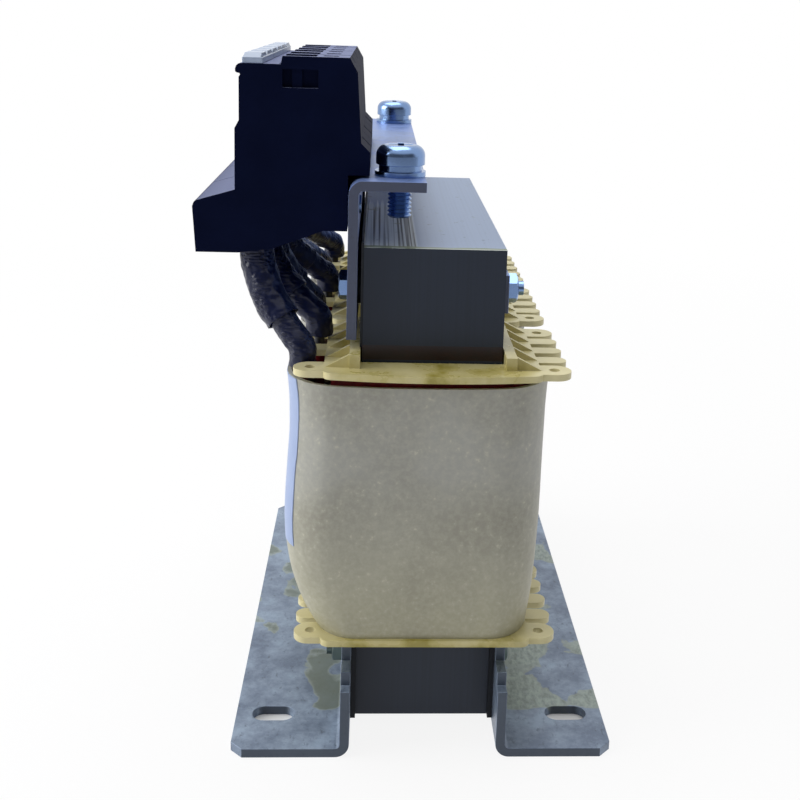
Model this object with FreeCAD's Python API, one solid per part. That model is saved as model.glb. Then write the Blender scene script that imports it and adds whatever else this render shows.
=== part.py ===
"""Three-phase line reactor on two angle feet, with a terminal row on its left.

X runs across the core, Y along it and Z up. The origin is the centre of the
four foot slots, on the surface that the feet stand on. Lengths are in millimetres.
"""
import FreeCAD
import Part

import math
import os

Vector = FreeCAD.Vector

# Laminated core: three legs, a bottom yoke and a separate top yoke
leg_width = 20.0
window_width = 20.0
window_height = 60.0
yoke_height = 20.0
stack_depth = 28.5
air_gap = 3.0
core_bottom = 3.5

# Through bolts of both yokes
bolt_diameter = 3.0
bolt_hole = 3.4
bolt_hex = 5.5
bolt_head_height = 2.0
nut_height = 2.4
bolt_end = 1.2
bolt_inset = 10.0
hex_crown = 0.88
hex_slope = 30.0

# Bobbins
tube_clearance = 0.3
tube_wall = 1.2
flange_thickness = 1.4
flange_half_width = 21.8
flange_half_length = 18.0
flange_corner = 2.0
flange_bow = 1.5
flange_rise = 0.65
bobbin_play = 0.5
upper_ear_reach = 27.8
lower_ear_reach = 27.3
ear_pitch = 6.8
ear_half_width = 2.1
corner_ear_half_width = 3.1
ear_hole = 2.1
ear_hole_inset = 3.4
collar_wall = 2.2
collar_height = 2.6
lower_collar_height = 2.0
collar_overhang = 3.2
gusset_thickness = 1.0
gusset_reach = 7.2

# Windings and their outer wraps
winding_half_width = 20.6
winding_half_length = 15.6
winding_radius = 9.0
wrap_thickness = 0.8
wrap_right = 24.2
wrap_left = 29.1
wrap_half_length = 17.7
wrap_radius = 10.5
wrap_top_gap = 1.1
wrap_height_shares = (0.0, 0.2, 0.6, 1.0)
wrap_right_draws = (2.3, 1.1, 0.5, 0.0)
wrap_left_draws = (6.0, 1.2, 0.0, 0.0)
wrap_end_draws = (0.6, 0.1, 0.0, 0.2)
label_thickness = 0.2
label_height = 36.0
label_width = 27.0
label_drop = 0.2

# Feet
sheet = 2.0
bend_radius = 0.9
foot_length = 120.0
foot_reach = 40.0
foot_leg_clearance = 0.5
foot_shoulder_drop = 6.6
foot_step_drop = 3.6
foot_step_inset = 2.5
foot_shoulder_inset = 7.0
foot_corner = 2.5
slot_width = 5.0
slot_length = 9.0
slot_spacing_x = 64.0
slot_spacing_y = 95.0
foot_insulation = 1.05
insulation_end = 1.5

# Terminal bracket, its insulation and the clamp strip opposite
bracket_gap = 1.25
bracket_overhang = 31.0
bracket_flange = 15.3
bracket_top_clearance = 11.2
bracket_drop = 30.2
bracket_insulation = 0.5
bracket_insulation_inset = 1.5
collar_clearance = 0.4
spacer_diameter = 7.5
strip_thickness = 1.2
strip_height = 8.0
strip_end_inset = 4.0

# Earth screws
screw_diameter = 5.0
screw_hole = 5.2
screw_head = 10.0
screw_head_height = 4.0
screw_head_round = 2.2
screw_socket_length = 4.8
screw_socket_width = 1.15
screw_socket_depth = 1.8
screw_below = 6.6
screw_inset = 10.0
screw_offset = 8.2
flat_washer = 10.4
flat_washer_thickness = 1.0
spring_washer = 8.8
spring_washer_thickness = 1.3
spring_washer_split = 1.0

# Terminal blocks
pole_pitch = 12.0
pole_count = 6
poles_per_block = 2
terminal_start = 4.0
block_gap = 0.3
block_clearance = 0.25
block_width = 22.35
block_above_flange = 23.5
block_height = 39.15
block_edge = 0.6
block_foot_height = 10.35
block_foot_reach = 8.4
block_foot_slope = 2.4
block_foot_corner = ((0.9, -0.15), (0.3, 0.3), (0.0, 1.1))
block_underside_rise = 4.8
block_sole = 7.6
block_sole_rise = 1.0
block_rail_wall = 4.8
block_step = 4.3
block_step_height = 6.4
block_step_chamfer = 1.8
block_neck = 1.6
block_ledge = 9.3
block_ledge_drop = 1.6
block_chamfer = 2.8
block_nose = ((1.3, 0.0), (0.75, 0.15), (0.35, 0.55), (0.17, 1.1), (0.2, 1.65),
              (0.45, 1.85), (1.0, 1.95), (1.15, 2.2))
block_grip_drop = 2.65
block_grip_depth = 0.85
block_grip_height = 8.4
block_grip_slope = 1.6
block_side_recess_width = 7.0
block_side_recess_height = 3.6
block_side_recess_depth = 1.4
block_side_recess_drop = 2.5
block_side_band_start = 1.8
block_side_band_width = 2.0
funnel_length = 7.6
funnel_width = 8.4
funnel_throat = 4.8
funnel_depth = 7.0
funnel_inset = 6.6
driver_slot_length = 3.0
driver_slot_width = 3.4
driver_slot_depth = 6.0
driver_slot_inset = 2.3
pole_groove = 1.2
pole_groove_depth = 1.6
clamp_size = 5.6
clamp_height = 6.4
clamp_bore = 3.4
clamp_clearance = 0.2
marker_height = 2.0
marker_base_height = 1.2
marker_inset = 0.7
marker_rim = 1.5
marker_width = 4.0
marker_crown_inset = 0.3
marker_slope = 1.2

# Rail that carries the blocks
rail_web = 1.5
rail_web_height = 2.2
rail_flange = 1.2
rail_flange_height = 5.6
rail_lip = 1.8
rail_inset = 1.5
rail_clearance = 0.25
rivet_diameter = 2.4
rivet_head = 3.8
rivet_head_height = 0.7
rivet_tail_height = 0.42
rivet_inset = 5.0

# Leads, each with an outer sleeve over its upper run
lead_diameter = 5.8
sleeve_diameter = 7.2
sleeve_bore_clearance = 0.5
sleeve_inset = 18.8
sleeve_entry = 6.0
lead_route_shares = ((0.0, 0.0, 0.31), (0.28, 0.36, 0.64), (0.7, 0.76, 0.86))
arc_share = 0.4
sleeve_edge_counts = (5, 5, 3)
tail_diameter = 2.2
tail_offsets = (26.3, 23.6)
tail_depth = 4.0
lead_foot_clearances = (0.5, 0.7)
lead_foot_run = 4.0

# Lengths closer than this count as equal
tolerance = 0.001

# Places worked out from the sizes above
core_length = 3 * leg_width + 2 * window_width
coil_pitch = leg_width + window_width
coil_places = {"front": -coil_pitch, "middle": 0.0, "rear": coil_pitch}
half_stack = stack_depth / 2
leg_bottom = core_bottom + yoke_height
leg_top = leg_bottom + window_height
yoke_bottom = leg_top + air_gap
core_top = yoke_bottom + yoke_height
bobbin_bottom = leg_bottom + flange_rise
bobbin_top = leg_top - bobbin_play
coil_bottom = bobbin_bottom + flange_thickness
coil_top = bobbin_top - flange_thickness
wrap_top = coil_top - wrap_top_gap
lead_feet = (wrap_top + lead_foot_clearances[0], bobbin_top + lead_foot_clearances[1])
tube_half_x = half_stack + tube_clearance + tube_wall
tube_half_y = leg_width / 2 + tube_clearance + tube_wall
foot_inner = half_stack + foot_insulation
foot_leg_height = bobbin_bottom - lower_collar_height - foot_leg_clearance
bracket_inner = -half_stack - bracket_gap
bracket_outer = bracket_inner - sheet
flange_under = core_top + bracket_top_clearance
flange_top = flange_under + sheet
bracket_bottom = flange_top - bracket_drop - sheet
yoke_bolt_height = core_top - bolt_inset
foot_bolt_height = core_bottom + bolt_inset
lead_steps = (-1, 1)
bolt_places = (-core_length / 2 + bolt_inset, core_length / 2 - bolt_inset)
bracket_rear = core_length / 2 + bracket_overhang
screw_places = (-core_length / 2 + screw_inset, bracket_rear - screw_inset)
screw_x = bracket_outer + sheet + screw_offset
block_right = bracket_outer - block_clearance
block_left = block_right - block_width
block_top = flange_top + block_above_flange
block_bottom = block_top - block_height
block_lip = flange_top + 2 * block_clearance
terminal_first = -core_length / 2 + terminal_start
block_length = poles_per_block * pole_pitch
rail_low = block_bottom + block_underside_rise + rail_lip


def box(x0, x1, y0, y1, z0, z1):
    """Return a box between two corners."""
    return Part.makeBox(x1 - x0, y1 - y0, z1 - z0, Vector(x0, y0, z0))


def rod(radius, length, start, direction):
    """Return a cylinder from a point along a direction."""
    return Part.makeCylinder(radius, length, Vector(*start), Vector(*direction))


def prism_y(points, y0, y1):
    """Return the solid of an outline of (x, z) points, from y0 to y1."""
    corners = [Vector(x, y0, z) for x, z in points]
    wire = Part.makePolygon(corners + corners[:1])
    return Part.Face(wire).extrude(Vector(0, y1 - y0, 0))


def joined(shapes):
    """Return the shapes fused into one clean solid."""
    return shapes[0].fuse(shapes[1:]).removeSplitter()


def hex_prism(across_flats, length, start, direction):
    """Return a hexagonal prism with its edges turned down at the outer end."""
    radius = across_flats / math.sqrt(3)
    corners = []
    for step in range(6):
        angle = math.radians(60 * step)
        corners.append(Vector(radius * math.cos(angle), radius * math.sin(angle), 0))
    prism = Part.Face(Part.makePolygon(corners + corners[:1])).extrude(Vector(0, 0, length))
    crown = hex_crown * across_flats / 2
    spread = length / math.tan(math.radians(hex_slope))
    prism = prism.common(Part.makeCone(crown + spread, crown, length))
    prism.Placement = FreeCAD.Placement(
        Vector(*start), FreeCAD.Rotation(Vector(0, 0, 1), Vector(*direction)))
    return prism


def rounded_wire(left, right, half_length, radius, y_centre, z, bow=0.0):
    """Return a rectangle with rounded corners at height z, its two ends bowed out."""
    near = y_centre - half_length
    far = y_centre + half_length
    turn = radius * (1 - math.sqrt(0.5))
    middle = (left + right) / 2
    corners = ((left, near, 1, 1), (right, near, -1, 1), (right, far, -1, -1), (left, far, 1, -1))
    arcs = []
    for x, y, dx, dy in corners:
        along = Vector(x + dx * radius, y, z)
        across = Vector(x, y + dy * radius, z)
        via = Vector(x + dx * turn, y + dy * turn, z)
        arcs.append((across, via, along))
    near_left, near_right, far_right, far_left = arcs

    def end(start, stop, bulge):
        if not bow:
            return Part.LineSegment(start, stop).toShape()
        via = Vector(middle, start.y + bulge * bow, z)
        return Part.Arc(start, via, stop).toShape()

    edges = [
        Part.Arc(*near_left).toShape(),
        end(near_left[2], near_right[2], -1),
        Part.Arc(near_right[2], near_right[1], near_right[0]).toShape(),
        Part.LineSegment(near_right[0], far_right[0]).toShape(),
        Part.Arc(*far_right).toShape(),
        end(far_right[2], far_left[2], 1),
        Part.Arc(far_left[2], far_left[1], far_left[0]).toShape(),
        Part.LineSegment(far_left[0], near_left[0]).toShape(),
    ]
    return Part.Wire(edges)


def rounded_block(left, right, half_length, radius, y_centre, z0, z1, bow=0.0):
    """Return the solid of a rounded rectangle from z0 to z1."""
    face = Part.Face(rounded_wire(left, right, half_length, radius, y_centre, z0, bow))
    return face.extrude(Vector(0, 0, z1 - z0))


def core_legs():
    """Bottom yoke and three legs, stacked from one E-shaped sheet."""
    half = core_length / 2
    pieces = [box(-half_stack, half_stack, -half, half, core_bottom, leg_bottom)]
    for place in coil_places.values():
        near = place - leg_width / 2
        pieces.append(box(-half_stack, half_stack, near, near + leg_width, leg_bottom, leg_top))
    core = joined(pieces)
    for place in bolt_places:
        start = (-half_stack, place, foot_bolt_height)
        core = core.cut(rod(bolt_hole / 2, stack_depth, start, (1, 0, 0)))
    return core


def top_yoke():
    """Straight yoke over the three air gaps."""
    half = core_length / 2
    yoke = box(-half_stack, half_stack, -half, half, yoke_bottom, core_top)
    for place in bolt_places:
        start = (-half_stack, place, yoke_bolt_height)
        yoke = yoke.cut(rod(bolt_hole / 2, stack_depth, start, (1, 0, 0)))
    return yoke


def gap_spacer(place):
    """Hard paper block that sets the air gap over one leg."""
    near = place - leg_width / 2
    return box(-half_stack, half_stack, near, near + leg_width, leg_top, yoke_bottom)


def ear(side, y, ear_reach, half_width, z0, z1):
    """Flange ear with a round tip, reaching out on one side."""
    reach = ear_reach - half_width
    root = tube_half_x
    low, high = sorted((side * root, side * reach))
    plate = box(low, high, y - half_width, y + half_width, z0, z1)
    return plate.fuse(rod(half_width, z1 - z0, (side * reach, y, z0), (0, 0, 1)))


def bobbin_end(place, face, direction):
    """Flange with ears, collars and gussets; face is its outer height.

    Two ears are left out on the left of the upper flange, where the leads pass.
    """
    inner = face - direction * flange_thickness
    z0, z1 = sorted((inner, face))
    ear_reach = upper_ear_reach if direction > 0 else lower_ear_reach
    height = collar_height if direction > 0 else lower_collar_height
    bow = flange_bow if direction > 0 else 0.0
    pieces = [rounded_block(-flange_half_width, flange_half_width, flange_half_length,
                            flange_corner, place, z0, z1, bow)]
    crest = face + direction * height
    low, high = sorted((face, crest))
    inside = half_stack + tube_clearance
    outside = inside + collar_wall
    collar_half = tube_half_y + collar_overhang
    for side in (-1, 1):
        left, right = sorted((side * inside, side * outside))
        pieces.append(box(left, right, place - collar_half, place + collar_half, low, high))
        for step in range(-2, 3):
            corner = abs(step) == 2
            half_width = corner_ear_half_width if corner else ear_half_width
            y = place + step * ear_pitch
            if not (side < 0 < direction and step in lead_steps):
                pieces.append(ear(side, y, ear_reach, half_width, z0, z1))
            foot = side * (outside + gusset_reach - collar_wall)
            outline = [(side * inside, face), (side * outside, face), (foot, face),
                       (side * outside, crest), (side * inside, crest)]
            pieces.append(prism_y(outline, y - gusset_thickness / 2, y + gusset_thickness / 2))
    end = joined(pieces)
    for side in (-1, 1):
        for step in (-2, 2):
            centre = (side * (ear_reach - ear_hole_inset), place + step * ear_pitch, z0)
            end = end.cut(rod(ear_hole / 2, z1 - z0, centre, (0, 0, 1)))
    return end


def bobbin(place):
    """Moulded bobbin: square tube between two flanges, with the leg's hole through it."""
    tube = box(-tube_half_x, tube_half_x, place - tube_half_y, place + tube_half_y,
               bobbin_bottom, bobbin_top)
    body = joined([tube, bobbin_end(place, bobbin_top, 1), bobbin_end(place, bobbin_bottom, -1)])
    half_x = half_stack + tube_clearance
    half_y = leg_width / 2 + tube_clearance
    bore = box(-half_x, half_x, place - half_y, place + half_y, bobbin_bottom, bobbin_top)
    return body.cut(bore)


def tail_places(place):
    """Return the two places along Y where a coil's leads come out."""
    return [place + step * ear_pitch for step in lead_steps]


def winding(place):
    """Copper winding between the flanges, with its two tails rising on the left."""
    outer = rounded_block(-winding_half_width, winding_half_width, winding_half_length,
                          winding_radius, place, coil_bottom, coil_top)
    hole = box(-tube_half_x, tube_half_x, place - tube_half_y, place + tube_half_y,
               coil_bottom, coil_top)
    coil = outer.cut(hole)
    bend = coil_top - 3 * tail_depth
    for y, offset, top in zip(tail_places(place), tail_offsets, lead_feet):
        neck = rod(tail_diameter / 2, offset - winding_half_width + tail_diameter,
                   (-offset, y, bend), (1, 0, 0))
        knee = Part.makeSphere(tail_diameter / 2, Vector(-offset, y, bend))
        rise = rod(tail_diameter / 2, top - bend, (-offset, y, bend), (0, 0, 1))
        coil = coil.fuse([neck, knee, rise])
    return coil.removeSplitter()


def wrap_loft(place, offset):
    """Barrel shape of a coil, drawn in at its foot; offset moves the whole skin."""
    height = wrap_top - coil_bottom
    wires = []
    draws = zip(wrap_height_shares, wrap_right_draws, wrap_left_draws, wrap_end_draws)
    for level, right_draw, left_draw, end_draw in draws:
        wires.append(rounded_wire(
            -wrap_left + left_draw - offset, wrap_right - right_draw + offset,
            wrap_half_length - end_draw + offset, wrap_radius + offset,
            place, coil_bottom + level * height))
    return Part.makeLoft(wires, True, False)


def coil_wrap(place):
    """Pressboard wrap round a coil."""
    return wrap_loft(place, 0.0).cut(wrap_loft(place, -wrap_thickness))


def coil_label():
    """Bare paper label on the left side of the front coil."""
    place = coil_places["front"]
    high = wrap_top - label_drop
    skin = wrap_loft(place, label_thickness).cut(wrap_loft(place, 0.0))
    window = box(-wrap_left - wrap_radius, -tube_half_x, place - label_width / 2,
                 place + label_width / 2, high - label_height, high)
    return skin.common(window)


def foot(side):
    """Angle foot of folded sheet, with a cross slot near each end."""
    half = foot_length / 2
    inner = foot_inner
    outer_radius = bend_radius + sheet
    plate = box(inner + outer_radius, foot_reach, -half, half, 0, sheet)
    leg = box(inner, inner + sheet, -half, half, outer_radius, foot_leg_height)
    bend = rod(outer_radius, foot_length, (inner + outer_radius, -half, outer_radius), (0, 1, 0))
    bend = bend.cut(rod(bend_radius, foot_length,
                        (inner + outer_radius, -half, outer_radius), (0, 1, 0)))
    quarter = box(inner, inner + outer_radius, -half, half, 0, outer_radius)
    shape = joined([plate, leg, bend.common(quarter)])
    for end in (-1, 1):
        for drop, inset in ((foot_shoulder_drop, foot_step_inset),
                            (foot_step_drop, foot_shoulder_inset)):
            low, high = sorted((end * half, end * (half - inset)))
            level = foot_leg_height - drop
            shape = shape.cut(box(inner, inner + sheet, low, high, level, foot_leg_height))
        y = end * slot_spacing_y / 2
        run = (slot_length - slot_width) / 2
        x = slot_spacing_x / 2
        slot = box(x - run, x + run, y - slot_width / 2, y + slot_width / 2, 0, sheet)
        tips = [rod(slot_width / 2, sheet, (x + way * run, y, 0), (0, 0, 1)) for way in (-1, 1)]
        shape = shape.cut(joined([slot] + tips))
        start = (inner, end * (core_length / 2 - bolt_inset), foot_bolt_height)
        shape = shape.cut(rod(bolt_hole / 2, sheet, start, (1, 0, 0)))
    corners = [edge for edge in shape.Edges
               if abs(edge.BoundBox.ZLength - sheet) < tolerance
               and edge.BoundBox.XMin > foot_reach - tolerance]
    shape = shape.makeChamfer(foot_corner, corners)
    return shape if side > 0 else shape.mirror(Vector(0, 0, 0), Vector(1, 0, 0))


def foot_insulation_strip(side):
    """Pressboard strip between the bottom yoke and a foot."""
    half = core_length / 2 + insulation_end
    left, right = sorted((side * half_stack, side * foot_inner))
    strip = box(left, right, -half, half, core_bottom, foot_leg_height)
    for place in bolt_places:
        start = (left, place, foot_bolt_height)
        strip = strip.cut(rod(bolt_hole / 2, foot_insulation, start, (1, 0, 0)))
    return strip


def terminal_bracket():
    """Folded angle on the left of the top yoke; its flange carries the earth screws."""
    front = -core_length / 2
    length = bracket_rear - front
    outer_radius = bend_radius + sheet
    right = bracket_outer + bracket_flange
    leg = box(bracket_outer, bracket_inner, front, bracket_rear, bracket_bottom,
              flange_top - outer_radius)
    shelf = box(bracket_outer + outer_radius, right, front, bracket_rear, flange_under, flange_top)
    axis = (bracket_outer + outer_radius, front, flange_top - outer_radius)
    bend = rod(outer_radius, length, axis, (0, 1, 0))
    bend = bend.cut(rod(bend_radius, length, axis, (0, 1, 0)))
    quarter = box(bracket_outer, bracket_outer + outer_radius, front, bracket_rear,
                  flange_top - outer_radius, flange_top)
    shape = joined([leg, shelf, bend.common(quarter)])
    for place in bolt_places:
        start = (bracket_outer, place, yoke_bolt_height)
        shape = shape.cut(rod(bolt_hole / 2, sheet, start, (1, 0, 0)))
    for place in screw_places:
        shape = shape.cut(rod(screw_hole / 2, sheet, (screw_x, place, flange_under), (0, 0, 1)))
    for place in rivet_places():
        start = (bracket_outer, place, rail_low + rail_flange_height / 2)
        shape = shape.cut(rod(rivet_diameter / 2, sheet, start, (1, 0, 0)))
    return shape


def bracket_insulation_strip():
    """Thin paper strip against the left side of the top yoke."""
    half = core_length / 2
    right = -half_stack
    low = bobbin_top + collar_height + collar_clearance
    high = core_top - bracket_insulation_inset
    strip = box(right - bracket_insulation, right, -half, half, low, high)
    for place in bolt_places:
        start = (right - bracket_insulation, place, yoke_bolt_height)
        strip = strip.cut(rod(bolt_hole / 2, bracket_insulation, start, (1, 0, 0)))
    return strip


def bracket_spacers():
    """Spacing washers between the paper strip and the bracket."""
    length = bracket_gap - bracket_insulation
    spacers = []
    for place in bolt_places:
        start = (bracket_inner, place, yoke_bolt_height)
        ring = rod(spacer_diameter / 2, length, start, (1, 0, 0))
        spacers.append(ring.cut(rod(bolt_hole / 2, length, start, (1, 0, 0))))
    return Part.makeCompound(spacers)


def clamp_strip():
    """Flat steel strip under the nuts on the right of the top yoke."""
    half = core_length / 2 - strip_end_inset
    low = yoke_bolt_height - strip_height / 2
    strip = box(half_stack, half_stack + strip_thickness, -half, half, low, low + strip_height)
    for place in bolt_places:
        start = (half_stack, place, yoke_bolt_height)
        strip = strip.cut(rod(bolt_hole / 2, strip_thickness, start, (1, 0, 0)))
    return strip


def bolts(height, head_x, nut_x):
    """Two through bolts from a head face to past the nut."""
    way = 1 if nut_x > head_x else -1
    length = abs(nut_x - head_x) + nut_height + bolt_end
    pair = []
    for place in bolt_places:
        shank = rod(bolt_diameter / 2, length, (head_x, place, height), (way, 0, 0))
        head = hex_prism(bolt_hex, bolt_head_height, (head_x, place, height), (-way, 0, 0))
        pair.append(joined([shank, head]))
    return Part.makeCompound(pair)


def nuts(height, face, way):
    """Two hexagon nuts that bear on a face, open to their bolts."""
    pair = []
    for place in bolt_places:
        start = (face, place, height)
        nut = hex_prism(bolt_hex, nut_height, start, (way, 0, 0))
        pair.append(nut.cut(rod(bolt_diameter / 2, nut_height, start, (way, 0, 0))))
    return Part.makeCompound(pair)


def flat_washers():
    """Flat washers on the bracket flange."""
    rings = []
    for place in screw_places:
        start = (screw_x, place, flange_top)
        ring = rod(flat_washer / 2, flat_washer_thickness, start, (0, 0, 1))
        rings.append(ring.cut(rod(screw_hole / 2, flat_washer_thickness, start, (0, 0, 1))))
    return Part.makeCompound(rings)


def spring_washers():
    """Split spring washers between the flat washers and the screw heads."""
    rings = []
    low = flange_top + flat_washer_thickness
    for place in screw_places:
        start = (screw_x, place, low)
        ring = rod(spring_washer / 2, spring_washer_thickness, start, (0, 0, 1))
        ring = ring.cut(rod(screw_hole / 2, spring_washer_thickness, start, (0, 0, 1)))
        split = box(screw_x, screw_x + spring_washer, place - spring_washer_split / 2,
                    place + spring_washer_split / 2, low, low + spring_washer_thickness)
        rings.append(ring.cut(split))
    return Part.makeCompound(rings)


def screw_head_shape(low):
    """Pan head with a rounded crown and a cross recess."""
    head = rod(screw_head / 2, screw_head_height, (0, 0, 0), (0, 0, 1))
    rim = [edge for edge in head.Edges if edge.BoundBox.ZMin > screw_head_height - tolerance]
    head = head.makeFillet(screw_head_round, rim)
    long = screw_socket_length / 2
    short = screw_socket_width / 2
    bottom = screw_head_height - screw_socket_depth
    for half_x, half_y in ((long, short), (short, long)):
        head = head.cut(box(-half_x, half_x, -half_y, half_y, bottom, screw_head_height))
    head.translate(Vector(0, 0, low))
    return head


def earth_screws():
    """Two screws down through the bracket flange."""
    low = flange_top + flat_washer_thickness + spring_washer_thickness
    pair = []
    for place in screw_places:
        length = low - flange_under + screw_below
        shank = rod(screw_diameter / 2, length, (0, 0, flange_under - screw_below), (0, 0, 1))
        screw = joined([shank, screw_head_shape(low)])
        screw.translate(Vector(screw_x, place, 0))
        pair.append(screw)
    return Part.makeCompound(pair)


def rail_ends():
    """Return where the terminal rail starts and stops along Y."""
    start = terminal_first + rail_inset
    return start, terminal_first + pole_count * pole_pitch - rail_inset


def rivet_places():
    """Return the rivets' places along Y."""
    start, stop = rail_ends()
    return start + rivet_inset, stop - rivet_inset


def rail_profile(grow):
    """Return the T-shaped rail section as two boxes over its whole length."""
    start, stop = rail_ends()
    near = start - grow
    far = stop + grow
    middle = rail_low + rail_flange_height / 2
    neck = bracket_outer - rail_web
    web = box(neck - grow, bracket_outer, near, far,
              middle - rail_web_height / 2 - grow, middle + rail_web_height / 2 + grow)
    flange = box(neck - rail_flange - grow, neck + grow, near, far,
                 rail_low - grow, rail_low + rail_flange_height + grow)
    return web, flange


def terminal_rail():
    """Rail on the outer face of the bracket, with two rivet holes."""
    rail = joined(list(rail_profile(0.0)))
    depth = rail_web + rail_flange
    for place in rivet_places():
        start = (bracket_outer - depth, place, rail_low + rail_flange_height / 2)
        rail = rail.cut(rod(rivet_diameter / 2, depth, start, (1, 0, 0)))
        seat = (bracket_outer - depth, place, rail_low + rail_flange_height / 2)
        rail = rail.cut(rod(rivet_head / 2, rivet_head_height, seat, (1, 0, 0)))
    return rail


def rail_rivets():
    """Rivets through the rail and the bracket."""
    depth = rail_web + rail_flange
    pair = []
    for place in rivet_places():
        height = rail_low + rail_flange_height / 2
        shank = rod(rivet_diameter / 2, depth + sheet, (bracket_outer - depth, place, height),
                    (1, 0, 0))
        seated = rod(rivet_head / 2, rivet_head_height, (bracket_outer - depth, place, height),
                     (1, 0, 0))
        closed = rod(rivet_head / 2, rivet_tail_height, (bracket_inner, place, height),
                     (1, 0, 0))
        pair.append(joined([shank, seated, closed]))
    return Part.makeCompound(pair)


def housing_outline():
    """Return the side outline of a terminal block as (x, z) points."""
    left, right, top, under = block_left, block_right, block_top, block_bottom
    edge = block_edge
    foot_left = left - block_foot_reach
    slope_top = under + block_foot_height
    rail_under = under + block_underside_rise
    step_right = right + block_step
    step_top = block_lip + block_step_height
    ledge = top - block_ledge_drop
    ledge_right = left + block_ledge
    grip_top = ledge - block_grip_drop
    grip_low = grip_top - block_grip_height
    nose = [(left + inset, ledge - drop) for inset, drop in block_nose]
    corner = [(foot_left + inset, slope_top - drop) for inset, drop in block_foot_corner]
    return [
        (foot_left + edge, under), (left + edge, under),
        (left + block_sole, under + block_sole_rise), (right - block_rail_wall, rail_under),
        (right, rail_under), (right, block_lip), (step_right, block_lip),
        (step_right, step_top - block_step_chamfer), (step_right - block_step_chamfer, step_top),
        (right + block_neck, top - block_chamfer), (right, top), (ledge_right, top),
        (ledge_right - edge / 2, ledge), *nose, (left + block_grip_depth, grip_top),
        (left + block_grip_depth, grip_low), (left, grip_low - block_grip_slope),
        (left, slope_top + block_foot_slope), *corner,
    ]


def funnel(x, y):
    """Return the tapered wire entry over one clamp."""
    wires = []
    for depth, half_x, half_y in (
            (0.0, funnel_length / 2, funnel_width / 2),
            (funnel_depth, funnel_throat / 2, funnel_throat / 2)):
        z = block_top - depth
        corners = [Vector(x - half_x, y - half_y, z), Vector(x + half_x, y - half_y, z),
                   Vector(x + half_x, y + half_y, z), Vector(x - half_x, y + half_y, z)]
        wires.append(Part.makePolygon(corners + corners[:1]))
    return Part.makeLoft(wires, True, True)


def funnel_x():
    """Return the line of the wire entries."""
    return block_right - funnel_inset - funnel_length / 2


def clamp_low():
    """Return the height of the floor under the clamps."""
    return block_top - funnel_depth - clamp_height


def pole_places(block):
    """Return the places along Y of the poles of one block."""
    first = terminal_first + block * block_length + pole_pitch / 2
    return [first + pole * pole_pitch for pole in range(poles_per_block)]


def terminal_block(block):
    """Moulded housing of two poles."""
    near = terminal_first + block * block_length + block_gap / 2
    far = near + block_length - block_gap
    body = prism_y(housing_outline(), near, far)
    cuts = list(rail_profile(rail_clearance))
    half = clamp_size / 2 + clamp_clearance
    x = funnel_x()
    for y in pole_places(block):
        cuts.append(funnel(x, y))
        cuts.append(box(x - half, x + half, y - half, y + half, clamp_low(),
                        block_top - funnel_depth))
        slot_x = block_right - driver_slot_inset
        cuts.append(box(slot_x - driver_slot_length, slot_x, y - driver_slot_width / 2,
                        y + driver_slot_width / 2, block_top - driver_slot_depth, block_top))
        cuts.append(rod(sleeve_diameter / 2 + sleeve_bore_clearance, sleeve_entry,
                        (block_right - sleeve_inset, y, block_bottom), (0, 0, 1)))
    middle = (near + far) / 2
    groove = pole_groove / 2
    cuts.append(box(block_left + block_ledge, block_right + block_neck, middle - groove,
                    middle + groove, block_top - pole_groove_depth, block_top))
    cuts.append(box(block_right + block_neck, block_right + block_step, middle - groove,
                    middle + groove, block_lip, block_lip + block_step_height))
    left = block_left + block_ledge
    high = block_top - block_side_recess_drop
    low = high - block_side_recess_height
    recess = box(left, left + block_side_recess_width, near, near + block_side_recess_depth,
                 low, high)
    band_left = left + block_side_band_start
    band = box(band_left, band_left + block_side_band_width,
               near + block_side_recess_depth / 2, near + block_side_recess_depth, low, high)
    cuts.append(recess.cut(band))
    for cut in cuts:
        body = body.cut(cut)
    return body.removeSplitter()


def wire_clamps():
    """Clamp cages on the floors under the wire entries."""
    half = clamp_size / 2
    x = funnel_x()
    cages = []
    for block in range(pole_count // poles_per_block):
        for y in pole_places(block):
            cage = box(x - half, x + half, y - half, y + half, clamp_low(),
                       block_top - funnel_depth)
            bore = rod(clamp_bore / 2, clamp_height, (x, y, clamp_low()), (0, 0, 1))
            cages.append(cage.cut(bore))
    return Part.makeCompound(cages)


def marker_strip(block):
    """Marker strip on the ledge of one block, with a low crown over each pole."""
    near = terminal_first + block * block_length + block_gap
    far = near + block_length - 2 * block_gap
    low = block_top - block_ledge_drop
    left = block_left + marker_rim
    right = left + marker_width
    strip = box(left, right, near, far, low, low + marker_base_height)
    crowns = []
    for y in pole_places(block):
        half = pole_pitch / 2 - marker_inset
        crown_left = left + marker_crown_inset
        shoulder = low + marker_base_height
        outline = [Vector(crown_left, y - half, low), Vector(crown_left, y - half, shoulder),
                   Vector(crown_left, y - half + marker_slope, low + marker_height),
                   Vector(crown_left, y + half - marker_slope, low + marker_height),
                   Vector(crown_left, y + half, shoulder), Vector(crown_left, y + half, low)]
        face = Part.Face(Part.makePolygon(outline + outline[:1]))
        crowns.append(face.extrude(Vector(right - left - 2 * marker_crown_inset, 0, 0)))
    return joined([strip] + crowns)


def sleeve_top():
    """Return the height where the sleeves stop inside the blocks."""
    return block_bottom + sleeve_entry


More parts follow.
